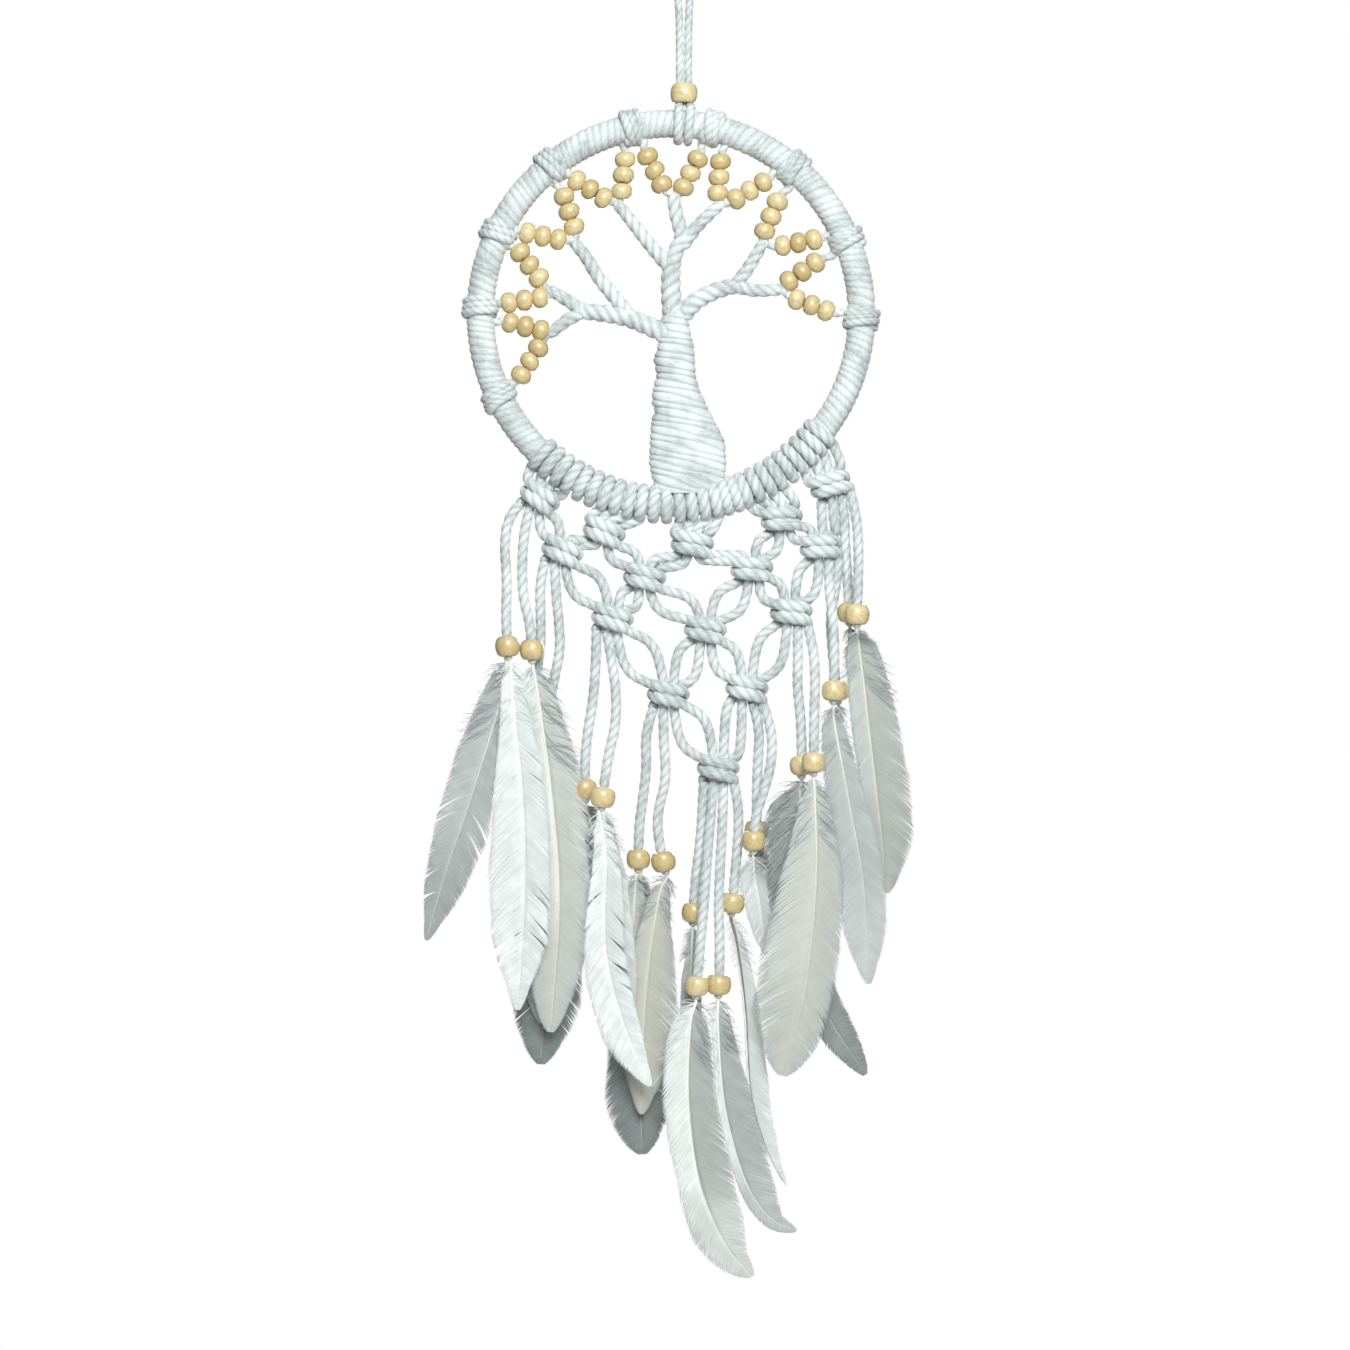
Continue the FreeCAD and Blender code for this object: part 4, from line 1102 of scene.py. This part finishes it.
QUILL_START = 1.6  # below the bead's middle
VANE_START = 5.2  # below the quill's top
TIP_START = 0.84  # where the vane begins to close, as a share of its length
BARB_PITCH = 0.6
BARB_STATIONS = np.linspace(0, 1, 8)  # from its root to its tip
BARB_HALF = np.interp(BARB_STATIONS, (0, 0.75, 1), (0.36, 0.34, 0.06))
BARB_DEPTH = 0.09  # half its thickness
DOWN_HALF = np.interp(BARB_STATIONS, (0, 1), (0.2, 0.07))


def smoothstep(value, low, high):
    share = np.clip((value - low) / (high - low), 0, 1)
    return share * share * (3 - 2 * share)


class Rachis:
    """A feather's middle line, with the vane's width on both sides."""

    def __init__(self, start, feather):
        self.line = through([start] + in_plane(feather.route, feather.depth), 0.5)
        self.length = spans(self.line).sum()
        self.tangents = unit(np.gradient(self.line, axis=0))
        self.shares = np.linspace(0, 1, len(self.line))
        self.widths = {-1: feather.left, 1: feather.right}

    def at(self, share):
        return sampled(share, self.shares, self.line)

    def along(self, share):
        return sampled(share, self.shares, self.tangents)

    def aside(self, share, side):
        along = self.along(share)
        return np.stack([-along[..., 2], 0 * along[..., 1], along[..., 0]], -1) * side

    def width(self, share, side):
        """The vane's reach: as given at its stations, and closing in a round tip."""
        given = self.widths[side]
        stations = (0, *WIDTH_STATIONS)
        reach = np.interp(share, stations, (given[0] * 0.55, *given))
        closing = (1 - np.clip((share - TIP_START) / (1 - TIP_START), 0, 1) ** 2.2) ** 0.68
        return reach * closing


def clumps(count, pitch, splits):
    """How far each barb's tip leans over to its neighbours, in mm, so that the edge parts
    into clumps, a few of them wide open."""
    lean = np.zeros(count)
    start = 0
    gaps = draws.gamma(1.2, 0.05, count)
    open_at = set(draws.integers(count // 5, count - 4, splits).tolist())
    while start < count:
        size = int(draws.integers(7, 22))
        members = np.arange(start, min(start + size, count))
        place = np.linspace(-1, 1, len(members)) if len(members) > 1 else np.zeros(1)
        wide = 1.5 if open_at & set(members.tolist()) else 0.0
        lean[members] = -place * np.minimum(gaps[start] + wide, len(members) * pitch * 0.4)
        start += size
    return lean


def ribbons(shape, paths, half, slant, dark, cream):
    """A closed thin solid along each path, lens-shaped in section, shingled by its slant."""
    count, stations, _ = paths.shape
    along = unit(np.gradient(paths, axis=1))
    across = unit(np.stack([-along[..., 2], 0 * along[..., 1], along[..., 0]], -1))
    wide = across * half[None, :, None]
    wide[..., 1] += slant * half
    thick = np.zeros_like(paths)
    thick[..., 1] = BARB_DEPTH
    ring = np.stack([paths + wide, paths - thick, paths - wide, paths + thick], axis=2)
    ends = [[3, 2, 1, 0], np.arange(4) + 4 * (stations - 1)]
    faces = np.concatenate([quads(stations, 4), ends])
    offsets = np.arange(count)[:, None, None] * stations * 4
    shape.add(ring.reshape(-1, 3), [(faces[None] + offsets).reshape(-1, 4)],
              dark=dark.repeat(4), cream=cream.repeat(4), brown=0)


def curved(start, bend, end):
    """A curve from each start to each end, pulled towards each bend."""
    share = BARB_STATIONS[None, :, None]
    return (start[:, None] * (1 - share) ** 2 + bend[:, None] * 2 * share * (1 - share)
            + end[:, None] * share**2)


def vane(shape, rachis, side, feather):
    """The barbs of one side of a feather, from its middle line forward to its edge."""
    count = round(rachis.length / BARB_PITCH)
    order = (np.arange(count) + 0.5) / count
    root = 0.02 + 0.975 * order
    width = rachis.width(root, side)
    lead = (0.85 * width + 2) / rachis.length * (1 - order**6)
    lean = clumps(count, BARB_PITCH, feather.splits) / rachis.length
    edge = np.clip(root + lead + lean, 0, 1)
    reach = rachis.width(edge, side) * (1 + draws.normal(0, 0.018, count))
    start = rachis.at(root)
    aside = rachis.aside(edge, side)
    end = rachis.at(edge) + aside * reach[:, None]
    bend = (start + end) / 2 + aside * (0.14 * reach)[:, None]
    paths = curved(start, bend, end)
    camber = 0.09 * reach[:, None] * BARB_STATIONS**2
    paths[..., 1] += camber + 0.1 * np.sin(order * 60)[:, None] * BARB_STATIONS
    share = root[:, None] + (edge - root)[:, None] * BARB_STATIONS
    left, right, tip = feather.dark
    plain = left if side < 0 else right
    dark = plain + (tip - plain) * smoothstep(share, 0.58, 0.8)
    dark = dark + draws.normal(0, 0.025, count)[:, None] + 0.06 * BARB_STATIONS**2
    cream = feather.cream * (1 - 0.75 * BARB_STATIONS) + 0 * dark
    ribbons(shape, paths, BARB_HALF, 0.3 * side, dark, cream)


def down(shape, rachis, side, feather):
    """Loose fluff at a feather's foot, a thick grey tuft of it where the feather has one."""
    tuft = feather.tuft == side
    count = 80 if tuft else 46
    root = np.sort(draws.uniform(-0.02, 0.24 if tuft else 0.17, count))
    start = rachis.at(root)
    reach = draws.uniform(0.6, 1.2, count) * (rachis.width(root, side) + 2.4)
    forward = draws.uniform(0.2, 1.3, count) * reach
    aside, along = rachis.aside(root, side), rachis.along(root)
    end = start + aside * reach[:, None] + along * forward[:, None]
    end[:, 1] += draws.normal(0, 0.8, count)
    bend = (start + end) / 2 + draws.normal(0, 1, (count, 3)) * (0.18 * reach)[:, None]
    bend[:, 1] = (start[:, 1] + end[:, 1]) / 2
    paths = curved(start, bend, end)
    plain = 0.5 if tuft else feather.dark[0 if side < 0 else 1] + 0.06
    dark = np.full(paths.shape[:2], plain) + draws.normal(0, 0.06, count)[:, None]
    ribbons(shape, paths, DOWN_HALF, 0.2, dark, 0 * dark)


def shaft(shape, rachis, quill_top, feather):
    """The quill from the bead's bore and the rachis, thinning to the tip."""
    line = evenly(np.concatenate([quill_top[None], rachis.line[:-6]]), 0.8)
    line = line - np.array([0, 0.06, 0])
    share = np.linspace(0, 1, len(line))[:, None]
    reach = np.interp(share, (0, 0.15, 0.4, 1), (0.8, 0.5, 0.26, 0.08))
    tube(shape, line, reach + np.zeros(8), dark=0.7 * min(feather.dark),
         cream=0.3 * (1 - feather.brown), brown=feather.brown)


def make_feathers():
    for label, (knot, feathers) in FEATHERS.items():
        shape = Shape()
        for feather in feathers:
            middle, way = bead_of(knot, feather.strand)
            quill_top = middle + way * QUILL_START + np.array([feather.aside, 0, 0])
            rachis = Rachis(quill_top + way * VANE_START, feather)
            shaft(shape, rachis, quill_top, feather)
            for side in (-1, 1):
                vane(shape, rachis, side, feather)
                down(shape, rachis, side, feather)
        slot = "grey_feather" if label in GREY_FEATHERS else "white_feather"
        piece = shape.piece(f"{label}_barbs", slot)
        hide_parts(label)
        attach(piece, BODIES[knot])


make_camera()
make_stage()
for knot, body in BODIES.items():
    make_strand_beads(knot, body)
    make_strands(knot)
make_loop()
make_top_bead()
make_hoop_wrap()
make_lashings()
make_hanger()
make_spare_turns()
make_net()
make_trunk()
make_branches()
make_bead_string()
make_tree_beads()
make_feathers()

for label, material in (("hoop_rod", plain_steel()), ("trunk_core", cord_bundle())):
    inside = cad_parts[label]
    inside.data.materials.clear()
    inside.data.materials.append(material)
